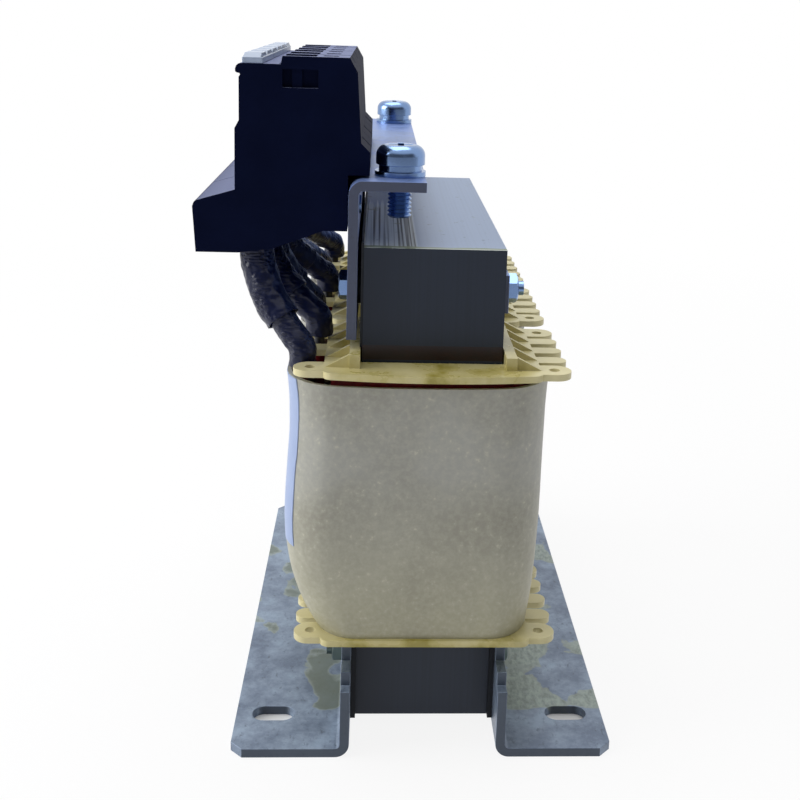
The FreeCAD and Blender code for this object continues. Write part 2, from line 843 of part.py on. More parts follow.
def rounded_path(points):
    """Return the edges of straight runs joined by tangent arcs."""
    edges = []
    last = points[0]
    for before, here, after in zip(points, points[1:], points[2:]):
        back = before - here
        ahead = after - here
        turn = math.pi - back.getAngle(ahead)
        cut = arc_share * min(back.Length, ahead.Length)
        radius = cut / math.tan(turn / 2)
        back.normalize()
        ahead.normalize()
        bisector = (back + ahead).normalize()
        centre = here + bisector * (radius / math.cos(turn / 2))
        start = here + back * cut
        stop = here + ahead * cut
        via = centre - bisector * radius
        edges.append(Part.LineSegment(last, start).toShape())
        edges.append(Part.Arc(start, via, stop).toShape())
        last = stop
    edges.append(Part.LineSegment(last, points[-1]).toShape())
    return edges


def lead_route(pole):
    """Return the edges of a lead's route from its block down to its coil."""
    block, side = divmod(pole, poles_per_block)
    coil, end_of_coil = divmod(pole, len(lead_steps))
    place = list(coil_places.values())[coil]
    top = Vector(block_right - sleeve_inset, pole_places(block)[side], sleeve_top())
    end = Vector(-tail_offsets[end_of_coil], tail_places(place)[end_of_coil],
                 lead_feet[end_of_coil])
    turn = end + Vector(0, 0, lead_foot_run)
    way = turn - top
    points = [top]
    for share_x, share_y, share_z in lead_route_shares:
        points.append(top + Vector(share_x * way.x, share_y * way.y, share_z * way.z))
    return rounded_path(points + [turn, end])


def round_bar(diameter, edges):
    """Return a bar of round section along a route that starts downwards."""
    start = edges[0].Vertexes[0].Point
    section = Part.Wire(Part.makeCircle(diameter / 2, start, Vector(0, 0, 1)))
    return Part.Wire(edges).makePipeShell([section], True, False)


def lead(pole):
    """Insulated lead from a block down to its coil's tail."""
    return round_bar(lead_diameter, lead_route(pole))


def lead_sleeve(pole):
    """Outer sleeve over the upper run of a lead."""
    count = sleeve_edge_counts[pole // len(lead_steps)]
    edges = lead_route(pole)[:count]
    return round_bar(sleeve_diameter, edges).cut(round_bar(lead_diameter, edges))


nodes = {
    "core_legs": core_legs(),
    "top_yoke": top_yoke(),
    "foot_left": foot(-1),
    "foot_right": foot(1),
    "foot_insulation_left": foot_insulation_strip(-1),
    "foot_insulation_right": foot_insulation_strip(1),
    "terminal_bracket": terminal_bracket(),
    "bracket_insulation": bracket_insulation_strip(),
    "bracket_spacers": bracket_spacers(),
    "clamp_strip": clamp_strip(),
    "top_yoke_bolts": bolts(yoke_bolt_height, bracket_outer, half_stack + strip_thickness),
    "top_yoke_nuts": nuts(yoke_bolt_height, half_stack + strip_thickness, 1),
    "bottom_yoke_bolts": bolts(foot_bolt_height, foot_inner + sheet, -foot_inner - sheet),
    "bottom_yoke_nuts": nuts(foot_bolt_height, -foot_inner - sheet, -1),
    "flat_washers": flat_washers(),
    "spring_washers": spring_washers(),
    "earth_screws": earth_screws(),
    "terminal_rail": terminal_rail(),
    "rail_rivets": rail_rivets(),
    "wire_clamps": wire_clamps(),
    "coil_label": coil_label(),
}
for name, place in coil_places.items():
    nodes["gap_spacer_" + name] = gap_spacer(place)
    nodes["bobbin_" + name] = bobbin(place)
    nodes["winding_" + name] = winding(place)
    nodes["coil_wrap_" + name] = coil_wrap(place)
for number in range(pole_count // poles_per_block):
    nodes["terminal_block_%d" % (number + 1)] = terminal_block(number)
    nodes["marker_strip_%d" % (number + 1)] = marker_strip(number)
for number in range(pole_count):
    nodes["lead_%d" % (number + 1)] = lead(number)
    nodes["lead_sleeve_%d" % (number + 1)] = lead_sleeve(number)

os.makedirs("parts", exist_ok=True)
for name, shape in nodes.items():
    if not shape.isValid():
        raise ValueError("not a valid solid: " + name)
    shape.exportStep("parts/" + name + ".step")
    print(name, len(shape.Solids), round(shape.Volume, 1))
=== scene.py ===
"""Dressed line reactor with its floor, lights and camera. Lengths are in metres."""

import logging
import math
from dataclasses import dataclass
from enum import Enum
from typing import Sequence

import bpy
from mathutils import Matrix, Vector

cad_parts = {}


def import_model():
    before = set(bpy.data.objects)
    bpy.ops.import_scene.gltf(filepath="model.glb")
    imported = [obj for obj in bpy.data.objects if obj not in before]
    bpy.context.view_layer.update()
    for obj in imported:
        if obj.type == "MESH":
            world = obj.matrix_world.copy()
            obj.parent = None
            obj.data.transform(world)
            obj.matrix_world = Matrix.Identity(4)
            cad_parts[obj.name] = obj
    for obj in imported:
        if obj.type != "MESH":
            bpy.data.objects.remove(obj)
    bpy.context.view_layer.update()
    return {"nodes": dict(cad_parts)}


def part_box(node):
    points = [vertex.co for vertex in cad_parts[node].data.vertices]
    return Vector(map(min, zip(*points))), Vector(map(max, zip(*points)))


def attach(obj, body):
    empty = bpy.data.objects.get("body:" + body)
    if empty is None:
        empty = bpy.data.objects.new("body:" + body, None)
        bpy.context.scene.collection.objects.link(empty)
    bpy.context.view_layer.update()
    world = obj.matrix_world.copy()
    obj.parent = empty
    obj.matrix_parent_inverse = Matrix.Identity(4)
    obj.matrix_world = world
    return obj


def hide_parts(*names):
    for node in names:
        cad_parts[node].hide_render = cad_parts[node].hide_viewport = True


Tree = bpy.types.NodeTree
Node = bpy.types.Node
Socket = bpy.types.NodeSocket
Piece = bpy.types.Object

logging.basicConfig(level=logging.INFO, format="%(message)s")
LOG = logging.getLogger("reactor")
MM = 0.001


class Coil(Enum):
    """The three coils, named from the camera's side."""

    FRONT = "front"
    MIDDLE = "middle"
    REAR = "rear"


def linear(code: str) -> tuple[float, float, float, float]:
    """Turn an sRGB hex colour into a linear one.

    Args:
        code: Six hex digits with a leading hash.

    Returns:
        Red, green, blue and a full alpha.
    """
    parts = [int(code[i:i + 2], 16) / 255 for i in (1, 3, 5)]
    red, green, blue = [p / 12.92 if p <= 0.04045 else ((p + 0.055) / 1.055) ** 2.4 for p in parts]
    return (red, green, blue, 1.0)


def add_node(tree: Tree, kind: str, settings: dict | None = None,
             links: dict | None = None) -> Node:
    """Add one shader node.

    Args:
        tree: Node tree that gets the node.
        kind: Node type, without the ShaderNode that they all begin with.
        settings: Properties by name, and input values by name or number.
        links: What feeds an input, by the input's name or number: a socket, or a node, of
            which the first output is then taken.

    Returns:
        The new node.
    """
    node = tree.nodes.new("ShaderNode" + kind)
    for name, value in (settings or {}).items():
        if isinstance(name, int) or name in node.inputs:
            node.inputs[name].default_value = value
        else:
            setattr(node, name, value)
    for name, source in (links or {}).items():
        socket = source if isinstance(source, Socket) else source.outputs[0]
        tree.links.new(socket, node.inputs[name])
    return node


@dataclass(frozen=True)
class Finish:
    """A plain finish, the same all over, that the others build on."""

    name: str
    colour: str
    roughness: float = 0.5
    metallic: float = 0.0
    specular: float = 0.5
    coat: float = 0.0
    coat_roughness: float = 0.1

    def material(self) -> bpy.types.Material:
        """Make this finish once.

        Returns:
            Its material.
        """
        found = bpy.data.materials.get(self.name)
        if found:
            return found
        material = bpy.data.materials.new(self.name)
        material.use_nodes = True
        tree = material.node_tree
        shader = tree.nodes["Principled BSDF"]
        shader.inputs["Base Color"].default_value = linear(self.colour)
        shader.inputs["Roughness"].default_value = self.roughness
        shader.inputs["Metallic"].default_value = self.metallic
        shader.inputs["Specular IOR Level"].default_value = self.specular
        shader.inputs["Coat Weight"].default_value = self.coat
        shader.inputs["Coat Roughness"].default_value = self.coat_roughness
        place = add_node(tree, "TexCoord")
        self.detail(tree, shader, place)
        return material

    def detail(self, tree: Tree, shader: Node, place: Node) -> None:
        """Add the finish's own pattern.

        Args:
            tree: The material's node tree.
            shader: Its surface shader.
            place: Its texture coordinates.
        """


@dataclass(frozen=True)
class LaminatedSteel(Finish):
    """Silicon steel sheets on edge under thin varnish.

    The sides are dark and nearly smooth, with painted shade that makes them darker to the
    left. Painted sky light makes the upper face pale grey-blue, except in its near left corner,
    where the bare sheets still show as a comb of lines. Varnish dried as an olive rim along the
    near edge, and a painted highlight runs along that edge, whole over the comb and in glints
    elsewhere.
    The real sheets are thinner, and are drawn as coarse as the picture can show.
    """

    sheet: float = 0.55 * MM
    # Painted shade: the sides darken to this colour towards the left.
    shaded_left_colour: str = "#171e2b"
    # Painted sky light: the upper face is drawn pale grey-blue.
    sky_lit_top_colour: str = "#8a9bb7"
    bare_colour: str = "#d3dde3"
    line_colour: str = "#222a34"
    olive_colour: str = "#6f7a58"
    # Painted highlight along the near edge of the upper face.
    pale_colour: str = "#c3ccc8"
    speck_colour: str = "#56616f"
    bare_right: float = -4 * MM
    bare_back: float = 5 * MM
    near_edge: float = -49.2 * MM
    cloud_size: float = 9 * MM
    speck_size: float = 1.6 * MM
    comb_spread: float = 30 * MM
    shade_left: float = -20 * MM
    shade_right: float = -4 * MM

    def detail(self, tree: Tree, shader: Node, place: Node) -> None:
        """Draw the dark sides with painted shade, the top pale with painted sky light and its comb
        of sheets, and the varnish rim with a painted highlight.

        Args:
            tree: The material's node tree.
            shader: Its surface shader.
            place: Its texture coordinates.
        """
        where = place.outputs["Object"]
        split = add_node(tree, "SeparateXYZ", None, {0: where})
        normal = add_node(tree, "SeparateXYZ", None, {0: place.outputs["Normal"]})
        up = add_node(tree, "MapRange", {"From Min": 0.6, "From Max": 0.95},
                      {"Value": normal.outputs["Z"]})
        stretch = add_node(tree, "Mapping", {"Scale": (1 / self.sheet, 7.0, 7.0)},
                           {"Vector": where})
        sheets = add_node(tree, "TexNoise", {"Scale": 1.0, "Detail": 2.0}, {"Vector": stretch})
        cloud = add_node(tree, "TexNoise", {"Scale": 1 / self.cloud_size, "Detail": 5.0},
                         {"Vector": where})
        fine = add_node(tree, "TexNoise", {"Scale": 1 / self.speck_size, "Detail": 2.0},
                        {"Vector": where})
        bare = self.bare_corner(tree, split, sheets, up)
        striped = self.draw_sheets(tree, split, sheets, up, bare)
        final = self.draw_varnish(tree, split, cloud, fine, up, bare, striped)
        tree.links.new(final.outputs[2], shader.inputs["Base Color"])
        bump = add_node(tree, "Bump", {"Strength": 0.1, "Distance": 0.05 * MM}, {"Height": sheets})
        tree.links.new(bump.outputs[0], shader.inputs["Normal"])

    def bare_corner(self, tree: Tree, split: Node, sheets: Node, up: Node) -> Node:
        """Find the corner of the upper face where the sheets are bare.

        Args:
            tree: The material's node tree.
            split: The place along X, Y and Z.
            sheets: The pattern of the sheets' edges.
            up: 1 on the upper face.

        Returns:
            1 in that corner.
        """
        left = add_node(tree, "MapRange",
                        {"From Min": self.bare_right, "From Max": self.bare_right + 0.6 * MM,
                         "To Min": 1.0, "To Max": 0.0}, {"Value": split.outputs["X"]})
        comb = add_node(tree, "Math",
                        {"operation": "MULTIPLY_ADD", 1: self.comb_spread,
                         2: -self.comb_spread / 2}, {0: sheets})
        depth = add_node(tree, "Math", {"operation": "ADD"}, {0: split.outputs["Y"], 1: comb})
        near = add_node(tree, "MapRange",
                        {"From Min": self.bare_back - 6 * MM, "From Max": self.bare_back,
                         "To Min": 1.0, "To Max": 0.0}, {"Value": depth})
        corner = add_node(tree, "Math", {"operation": "MULTIPLY"}, {0: left, 1: near})
        return add_node(tree, "Math", {"operation": "MULTIPLY"}, {0: corner, 1: up})

    def draw_sheets(self, tree: Tree, split: Node, sheets: Node, up: Node, bare: Node) -> Node:
        """Colour the dark sides with painted shade to the left, the top pale with painted sky
        light, and the lines between the sheets.

        Args:
            tree: The material's node tree.
            split: The place along X, Y and Z.
            sheets: The pattern of the sheets' edges.
            up: 1 on the upper face.
            bare: 1 where the sheets are bare.

        Returns:
            The steel's colour.
        """
        # Painted sky light: the upper face is drawn pale grey-blue, apart from the bare corner.
        top = add_node(tree, "Mix",
                       {"data_type": "RGBA", 6: linear(self.sky_lit_top_colour),
                        7: linear(self.bare_colour)}, {0: bare})
        # Painted shade: the sides darken towards the left.
        shade = add_node(tree, "MapRange",
                         {"From Min": self.shade_left, "From Max": self.shade_right},
                         {"Value": split.outputs["X"]})
        flank = add_node(tree, "Mix",
                         {"data_type": "RGBA", 6: linear(self.shaded_left_colour), 7: linear(self.colour)},
                         {0: shade})
        base = add_node(tree, "Mix", {"data_type": "RGBA"},
                        {0: up, 6: flank.outputs[2], 7: top.outputs[2]})
        side = add_node(tree, "Math", {"operation": "MULTIPLY_ADD", 1: -0.22, 2: 0.27}, {0: up})
        lined = add_node(tree, "Math", {"operation": "MAXIMUM"}, {0: side, 1: bare})
        line = add_node(tree, "MapRange", {"From Min": 0.46, "From Max": 0.6}, {"Value": sheets})
        share = add_node(tree, "Math", {"operation": "MULTIPLY"}, {0: line, 1: lined})
        return add_node(tree, "Mix", {"data_type": "RGBA", 7: linear(self.line_colour)},
                        {0: share, 6: base.outputs[2]})

    def draw_varnish(self, tree: Tree, split: Node, cloud: Node, fine: Node, up: Node, bare: Node,
                     striped: Node) -> Node:
        """Lay the olive rim, the painted highlight along the near edge, the blots and the specks
        over the steel.

        Args:
            tree: The material's node tree.
            split: The place along X, Y and Z.
            cloud: Broad clouds.
            fine: Fine specks, which also place the painted glints.
            up: 1 on the upper face.
            bare: 1 where the sheets are bare.
            striped: The steel's colour.

        Returns:
            The final colour.
        """
        wavy = add_node(tree, "Math", {"operation": "MULTIPLY_ADD", 1: -3 * MM},
                        {0: cloud, 2: split.outputs["Y"]})
        olive = add_node(tree, "MapRange",
                         {"From Min": self.near_edge - 0.6 * MM, "From Max": self.near_edge,
                          "To Min": 0.9, "To Max": 0.0}, {"Value": wavy})
        blot = add_node(tree, "MapRange", {"From Min": 0.69, "From Max": 0.72, "To Max": 0.6},
                        {"Value": cloud})
        wet = add_node(tree, "Math", {"operation": "MAXIMUM"}, {0: olive, 1: blot})
        stain = add_node(tree, "Math", {"operation": "MULTIPLY"}, {0: wet, 1: up})
        stained = add_node(tree, "Mix", {"data_type": "RGBA", 7: linear(self.olive_colour)},
                           {0: stain, 6: striped.outputs[2]})
        # Painted highlight: a pale line along the near edge of the upper face, whole over the bare
        # comb and in glints elsewhere.
        rim = add_node(tree, "MapRange",
                       {"From Min": self.near_edge - 0.2 * MM, "From Max": self.near_edge,
                        "To Min": 0.8, "To Max": 0.0}, {"Value": split.outputs["Y"]})
        painted_glint = add_node(tree, "MapRange", {"From Min": 0.5, "From Max": 0.56}, {"Value": fine})
        shown = add_node(tree, "Mix", {"data_type": "FLOAT", 2: 1.0}, {0: bare, 3: painted_glint})
        pale = add_node(tree, "Math", {"operation": "MULTIPLY"}, {0: rim, 1: shown})
        high = add_node(tree, "Math", {"operation": "MULTIPLY"}, {0: pale, 1: up})
        rimmed = add_node(tree, "Mix", {"data_type": "RGBA", 7: linear(self.pale_colour)},
                          {0: high, 6: stained.outputs[2]})
        dots = add_node(tree, "MapRange", {"From Min": 0.7, "From Max": 0.74, "To Max": 0.7},
                        {"Value": fine})
        specks = add_node(tree, "Math", {"operation": "MULTIPLY"}, {0: dots, 1: up})
        return add_node(tree, "Mix", {"data_type": "RGBA", 7: linear(self.speck_colour)},
                        {0: specks, 6: rimmed.outputs[2]})


@dataclass(frozen=True)
class ZincSheet(Finish):
    """Rolled steel sheet with dull zinc plating: finely clouded, with dark rub marks.

    Varnish that ran off the coils lies on it near the legs as a greenish film with a yellow
    rim: dark and wet on the left, dried to a pale grain on the right. The sheared ends are
    darker than its faces.
    """

    pale_colour: str = "#98a8bd"
    rub_colour: str = "#4e5968"
    film_colour: str = "#717d78"
    wet_colour: str = "#566058"
    grain_colour: str = "#a3afa8"
    rim_colour: str = "#a3a986"
    end_colour: str = "#3d4653"
    film_size: float = 17 * MM
    film_share: float = 0.6
    film_ends: float = 50 * MM
    cloud_size: float = 8 * MM
    rub_size: float = 1.1 * MM
    leg_near: float = 22 * MM
    leg_far: float = 38 * MM
    dry_right: float = 5 * MM

    def detail(self, tree: Tree, shader: Node, place: Node) -> None:
        """Draw the clouds, the rub marks, the varnish film and the sheared ends.

        Args:
            tree: The material's node tree.
            shader: Its surface shader.
            place: Its texture coordinates.
        """
        where = place.outputs["Object"]
        split = add_node(tree, "SeparateXYZ", None, {0: where})
        cloud = add_node(tree, "TexNoise",
                         {"Scale": 1 / self.cloud_size, "Detail": 9.0, "Roughness": 0.72},
                         {"Vector": where})
        stretch = add_node(tree, "Mapping",
                           {"Scale": (1 / self.rub_size, 0.5 / self.rub_size, 1 / self.rub_size)},
                           {"Vector": where})
        rubbed = add_node(tree, "TexNoise", {"Scale": 1.0, "Detail": 6.0, "Roughness": 0.65},
                          {"Vector": stretch})
        worn = self.draw_plating(tree, cloud, rubbed)
        wetness = self.spread_film(tree, where, split)
        stained = self.draw_film(tree, split, rubbed, wetness, worn)
        normal = add_node(tree, "SeparateXYZ", None, {0: place.outputs["Normal"]})
        faced = add_node(tree, "Math", {"operation": "ABSOLUTE"}, {0: normal.outputs["Y"]})
        cut = add_node(tree, "MapRange", {"From Min": 0.8, "From Max": 0.97, "To Max": 0.9},
                       {"Value": faced})
        final = add_node(tree, "Mix", {"data_type": "RGBA", 7: linear(self.end_colour)},
                         {0: cut, 6: stained.outputs[2]})
        tree.links.new(final.outputs[2], shader.inputs["Base Color"])
        rough = add_node(tree, "MapRange",
                         {"From Min": 0.3, "From Max": 0.7, "To Min": self.roughness - 0.1,
                          "To Max": self.roughness + 0.12}, {"Value": cloud})
        tree.links.new(rough.outputs[0], shader.inputs["Roughness"])
        bump = add_node(tree, "Bump", {"Strength": 0.2, "Distance": 0.06 * MM}, {"Height": rubbed})
        tree.links.new(bump.outputs[0], shader.inputs["Normal"])

    def draw_plating(self, tree: Tree, cloud: Node, rubbed: Node) -> Node:
        """Colour the plating with its clouds and rub marks.

        Args:
            tree: The material's node tree.
            cloud: Broad clouds.
            rubbed: The pattern of the rub marks.

        Returns:
            The plating's colour.
        """
        pale = add_node(tree, "MapRange", {"From Min": 0.38, "From Max": 0.64}, {"Value": cloud})
        zinc = add_node(tree, "Mix",
                        {"data_type": "RGBA", 6: linear(self.colour), 7: linear(self.pale_colour)},
                        {0: pale})
        rub = add_node(tree, "MapRange", {"From Min": 0.42, "From Max": 0.3, "To Max": 0.7},
                       {"Value": rubbed})
        return add_node(tree, "Mix", {"data_type": "RGBA", 7: linear(self.rub_colour)},
                        {0: rub, 6: zinc.outputs[2]})

    def spread_film(self, tree: Tree, where: Socket, split: Node) -> Node:
        """Spread the varnish film near the legs, away from the sheet's ends.

        Args:
            tree: The material's node tree.
            where: Where the pattern is read.
            split: The place along X, Y and Z.

        Returns:
            How much varnish lies there.
        """
        splash = add_node(tree, "TexNoise",
                          {"Scale": 1 / self.film_size, "Detail": 4.0, "Distortion": 0.3},
                          {"Vector": where})
        along = add_node(tree, "Math", {"operation": "ABSOLUTE"}, {0: split.outputs["Y"]})
        inner = add_node(tree, "MapRange",
                         {"From Min": self.film_ends - 6 * MM, "From Max": self.film_ends,
                          "To Min": 0.0, "To Max": -0.3}, {"Value": along})
        across = add_node(tree, "Math", {"operation": "ABSOLUTE"}, {0: split.outputs["X"]})
        by_leg = add_node(tree, "MapRange",
                          {"From Min": self.leg_near, "From Max": self.leg_far, "To Min": 0.09,
                           "To Max": -0.05}, {"Value": across})
        placed = add_node(tree, "Math", {"operation": "ADD"}, {0: by_leg, 1: inner})
        leaning = add_node(tree, "Math", {"operation": "MULTIPLY_ADD", 1: 0.6},
                           {0: split.outputs["X"], 2: placed})
        return add_node(tree, "Math", {"operation": "ADD"}, {0: splash, 1: leaning})

    def draw_film(self, tree: Tree, split: Node, rubbed: Node, wetness: Node, worn: Node) -> Node:
        """Lay the film and its rim over the plating.

        Args:
            tree: The material's node tree.
            split: The place along X, Y and Z.
            rubbed: The pattern of the rub marks.
            wetness: How much varnish lies there.
            worn: The plating's colour.

        Returns:
            The stained colour.
        """
        edge = add_node(tree, "MapRange",
                        {"From Min": 0.547, "From Max": 0.557, "To Max": self.film_share * 0.7},
                        {"Value": wetness})
        rimmed = add_node(tree, "Mix", {"data_type": "RGBA", 7: linear(self.rim_colour)},
                          {0: edge, 6: worn.outputs[2]})
        grain = add_node(tree, "MapRange", {"From Min": 0.4, "From Max": 0.62}, {"Value": rubbed})
        right = add_node(tree, "MapRange",
                         {"From Min": -self.dry_right, "From Max": self.dry_right},
                         {"Value": split.outputs["X"]})
        grainy = add_node(tree, "Math", {"operation": "MULTIPLY"}, {0: grain, 1: right})
        ground = add_node(tree, "Mix",
                          {"data_type": "RGBA", 6: linear(self.wet_colour),
                           7: linear(self.film_colour)}, {0: right})
        film = add_node(tree, "Mix", {"data_type": "RGBA", 7: linear(self.grain_colour)},
                        {0: grainy, 6: ground.outputs[2]})
        wet = add_node(tree, "MapRange",
                       {"From Min": 0.557, "From Max": 0.585, "To Max": self.film_share},
                       {"Value": wetness})
        return add_node(tree, "Mix", {"data_type": "RGBA"},
                        {0: wet, 6: rimmed.outputs[2], 7: film.outputs[2]})


@dataclass(frozen=True)
class BrightZinc(Finish):
    """Blue-passivated zinc on screws and nuts: a mirror with faint smears."""

    smear_size: float = 1.5 * MM

    def detail(self, tree: Tree, shader: Node, place: Node) -> None:
        """Vary the gloss in small smears.

        Args:
            tree: The material's node tree.
            shader: Its surface shader.
            place: Its texture coordinates.
        """
        smear = add_node(tree, "TexNoise", {"Scale": 1 / self.smear_size, "Detail": 3.0},
                         {"Vector": place.outputs["Object"]})
        rough = add_node(tree, "MapRange",
                         {"To Min": self.roughness - 0.06, "To Max": self.roughness + 0.14},
                         {"Value": smear})
        tree.links.new(rough.outputs[0], shader.inputs["Roughness"])


@dataclass(frozen=True)
class MottledWrap(Finish):
    """Soft pressboard paper soaked in varnish: grey beige with faint clouds and pale flecks.

    It is warmer and yellower towards the foot of a coil.
    """

    cloud_colour: str = "#858273"
    fleck_colour: str = "#cdccb8"
    foot_colour: str = "#aaa580"
    foot_low: float = 22 * MM
    foot_high: float = 62 * MM
    cloud_size: float = 16 * MM
    fibre_size: float = 1.1 * MM

    def detail(self, tree: Tree, shader: Node, place: Node) -> None:
        """Draw broad clouds, a fine mottle, pale flecks and the warm foot.

        Args:
            tree: The material's node tree.
            shader: Its surface shader.
            place: Its texture coordinates.
        """
        where = place.outputs["Object"]
        split = add_node(tree, "SeparateXYZ", None, {0: where})
        towards_foot = add_node(tree, "MapRange",
                           {"From Min": self.foot_low, "From Max": self.foot_high, "To Min": 0.75,
                            "To Max": 0.0}, {"Value": split.outputs["Z"]})
        ground = add_node(tree, "Mix",
                          {"data_type": "RGBA", 6: linear(self.colour),
                           7: linear(self.foot_colour)}, {0: towards_foot})
        cloud = add_node(tree, "TexNoise", {"Scale": 1 / self.cloud_size, "Detail": 3.0},
                         {"Vector": where})
        broad = add_node(tree, "MapRange", {"From Min": 0.4, "From Max": 0.7, "To Max": 0.5},
                         {"Value": cloud})
        base = add_node(tree, "Mix", {"data_type": "RGBA", 7: linear(self.cloud_colour)},
                        {0: broad, 6: ground.outputs[2]})
        mottle = add_node(tree, "TexNoise",
                          {"Scale": 1 / self.fibre_size, "Detail": 5.0, "Roughness": 0.6},
                          {"Vector": where})
        haze = add_node(tree, "MapRange", {"From Min": 0.4, "From Max": 0.65, "To Max": 0.22},
                        {"Value": mottle})
        hazy = add_node(tree, "Mix", {"data_type": "RGBA", 7: linear(self.fleck_colour)},
                        {0: haze, 6: base.outputs[2]})
        fleck = add_node(tree, "MapRange", {"From Min": 0.64, "From Max": 0.7, "To Max": 0.45},
                         {"Value": mottle})
        final = add_node(tree, "Mix", {"data_type": "RGBA", 7: linear(self.fleck_colour)},
                         {0: fleck, 6: hazy.outputs[2]})
        tree.links.new(final.outputs[2], shader.inputs["Base Color"])
        bump = add_node(tree, "Bump", {"Strength": 0.25, "Distance": 0.08 * MM}, {"Height": mottle})
        tree.links.new(bump.outputs[0], shader.inputs["Normal"])


@dataclass(frozen=True)
class VarnishedNylon(Finish):
    """Cream moulded nylon with olive-yellow varnish dried between the ribs.

    The varnish lies near the core, where it ran down, and fades towards the ear tips. It is
    thickest and darkest on the lower flange, where it gathered.
    """

    varnish_colour: str = "#b3a654"
    thick_colour: str = "#9c9144"
    dry_from: float = 24 * MM
    wet_until: float = 14 * MM
    gathered_below: float = 24 * MM
    patch_size: float = 7 * MM

    def detail(self, tree: Tree, shader: Node, place: Node) -> None:
        """Draw the varnish by its distance from the core.

        Args:
            tree: The material's node tree.
            shader: Its surface shader.
            place: Its texture coordinates.
        """
        where = place.outputs["Object"]
        split = add_node(tree, "SeparateXYZ", None, {0: where})
        across = add_node(tree, "Math", {"operation": "ABSOLUTE"}, {0: split.outputs["X"]})
        near = add_node(tree, "MapRange",
                        {"From Min": self.wet_until, "From Max": self.dry_from, "To Min": 1.0,
                         "To Max": 0.25}, {"Value": across})
        cloud = add_node(tree, "TexNoise", {"Scale": 1 / self.patch_size, "Detail": 6.0},
                         {"Vector": where})
        low = add_node(tree, "MapRange",
                       {"From Min": self.gathered_below, "From Max": self.gathered_below + 2 * MM,
                        "To Min": 0.16, "To Max": 0.0}, {"Value": split.outputs["Z"]})
        amount = add_node(tree, "Math", {"operation": "ADD"}, {0: cloud, 1: low})
        patch = add_node(tree, "MapRange", {"From Min": 0.25, "From Max": 0.68}, {"Value": amount})
        share = add_node(tree, "Math", {"operation": "MULTIPLY"}, {0: near, 1: patch})
        pool = add_node(tree, "MapRange", {"From Min": 0.58, "From Max": 0.72}, {"Value": amount})
        varnish = add_node(tree, "Mix",
                           {"data_type": "RGBA", 6: linear(self.varnish_colour),
                            7: linear(self.thick_colour)}, {0: pool})
        final = add_node(tree, "Mix", {"data_type": "RGBA", 6: linear(self.colour)},
                         {0: share, 7: varnish.outputs[2]})
        tree.links.new(final.outputs[2], shader.inputs["Base Color"])
        rough = add_node(tree, "MapRange", {"To Min": self.roughness, "To Max": 0.2},
                         {"Value": share})
        tree.links.new(rough.outputs[0], shader.inputs["Roughness"])
        bump = add_node(tree, "Bump", {"Strength": 0.2, "Distance": 0.1 * MM}, {"Height": cloud})
        tree.links.new(bump.outputs[0], shader.inputs["Normal"])


@dataclass(frozen=True)
class GrainedPlastic(Finish):
    """Moulded plastic with a fine spark-eroded grain, paler where it faces upwards, from dust and
    painted sky light.
    """

    grain: float = 0.25 * MM
    relief: float = 0.15
    tone_colour: str = "#0a1230"
    dust_and_sky_colour: str = "#858db0"
    dust_and_sky_share: float = 0.85
    tone_size: float = 8 * MM

    def detail(self, tree: Tree, shader: Node, place: Node) -> None:
        """Add the grain, a faint change of tone, and the dust and painted sky light on the upper
        faces.

        Args:
            tree: The material's node tree.
            shader: Its surface shader.
            place: Its texture coordinates.
        """
        where = place.outputs["Object"]
        grain = add_node(tree, "TexNoise", {"Scale": 1 / self.grain, "Detail": 2.0},
                         {"Vector": where})
        tone = add_node(tree, "TexNoise", {"Scale": 1 / self.tone_size, "Detail": 3.0},
                        {"Vector": where})
        plastic = add_node(tree, "Mix",
                           {"data_type": "RGBA", 6: linear(self.colour),
                            7: linear(self.tone_colour)}, {0: tone})
        normal = add_node(tree, "SeparateXYZ", None, {0: place.outputs["Normal"]})
        # Dust and painted sky light: the upper faces are drawn paler and bluer.
        up = add_node(tree, "MapRange",
                      {"From Min": 0.8, "From Max": 0.97, "To Max": self.dust_and_sky_share},
                      {"Value": normal.outputs["Z"]})
        final = add_node(tree, "Mix", {"data_type": "RGBA", 7: linear(self.dust_and_sky_colour)},
                         {0: up, 6: plastic.outputs[2]})
        tree.links.new(final.outputs[2], shader.inputs["Base Color"])
        bump = add_node(tree, "Bump", {"Strength": self.relief, "Distance": 0.03 * MM},
                        {"Height": grain})
        tree.links.new(bump.outputs[0], shader.inputs["Normal"])


@dataclass(frozen=True)
class VarnishedBraid(Finish):
    """Braided glass sleeving dipped in black varnish: glossy, with sparkling crossings.

    The real strands are finer, and are drawn as coarse as the picture can show.
    """

    strand: float = 0.9 * MM
    slant: float = 0.7
    bare_size: float = 6 * MM

    def detail(self, tree: Tree, shader: Node, place: Node) -> None:
        """Raise the strands in two slanting directions.

        Args:
            tree: The material's node tree.
            shader: Its surface shader.
            place: Its texture coordinates.
        """
        where = place.outputs["Object"]
        heights = []
        for turn in (self.slant, -self.slant):
            turned = add_node(tree, "Mapping", {"Rotation": (turn, 0.0, turn)}, {"Vector": where})
            heights.append(add_node(tree, "TexWave",
                                    {"bands_direction": "Z", "Scale": math.pi / 10 / self.strand,
                                     "Distortion": 1.5}, {"Vector": turned}))
        both = add_node(tree, "Math", {"operation": "MAXIMUM"},
                        {0: heights[0].outputs[1], 1: heights[1].outputs[1]})
        bare = add_node(tree, "TexNoise", {"Scale": 1 / self.bare_size, "Detail": 2.0},
                        {"Vector": where})
        show = add_node(tree, "MapRange", {"From Min": 0.45, "From Max": 0.6}, {"Value": bare})
        height = add_node(tree, "Math", {"operation": "MULTIPLY"}, {0: both, 1: show})
        bump = add_node(tree, "Bump", {"Strength": 0.9, "Distance": 0.3 * MM}, {"Height": height})
        tree.links.new(bump.outputs[0], shader.inputs["Normal"])


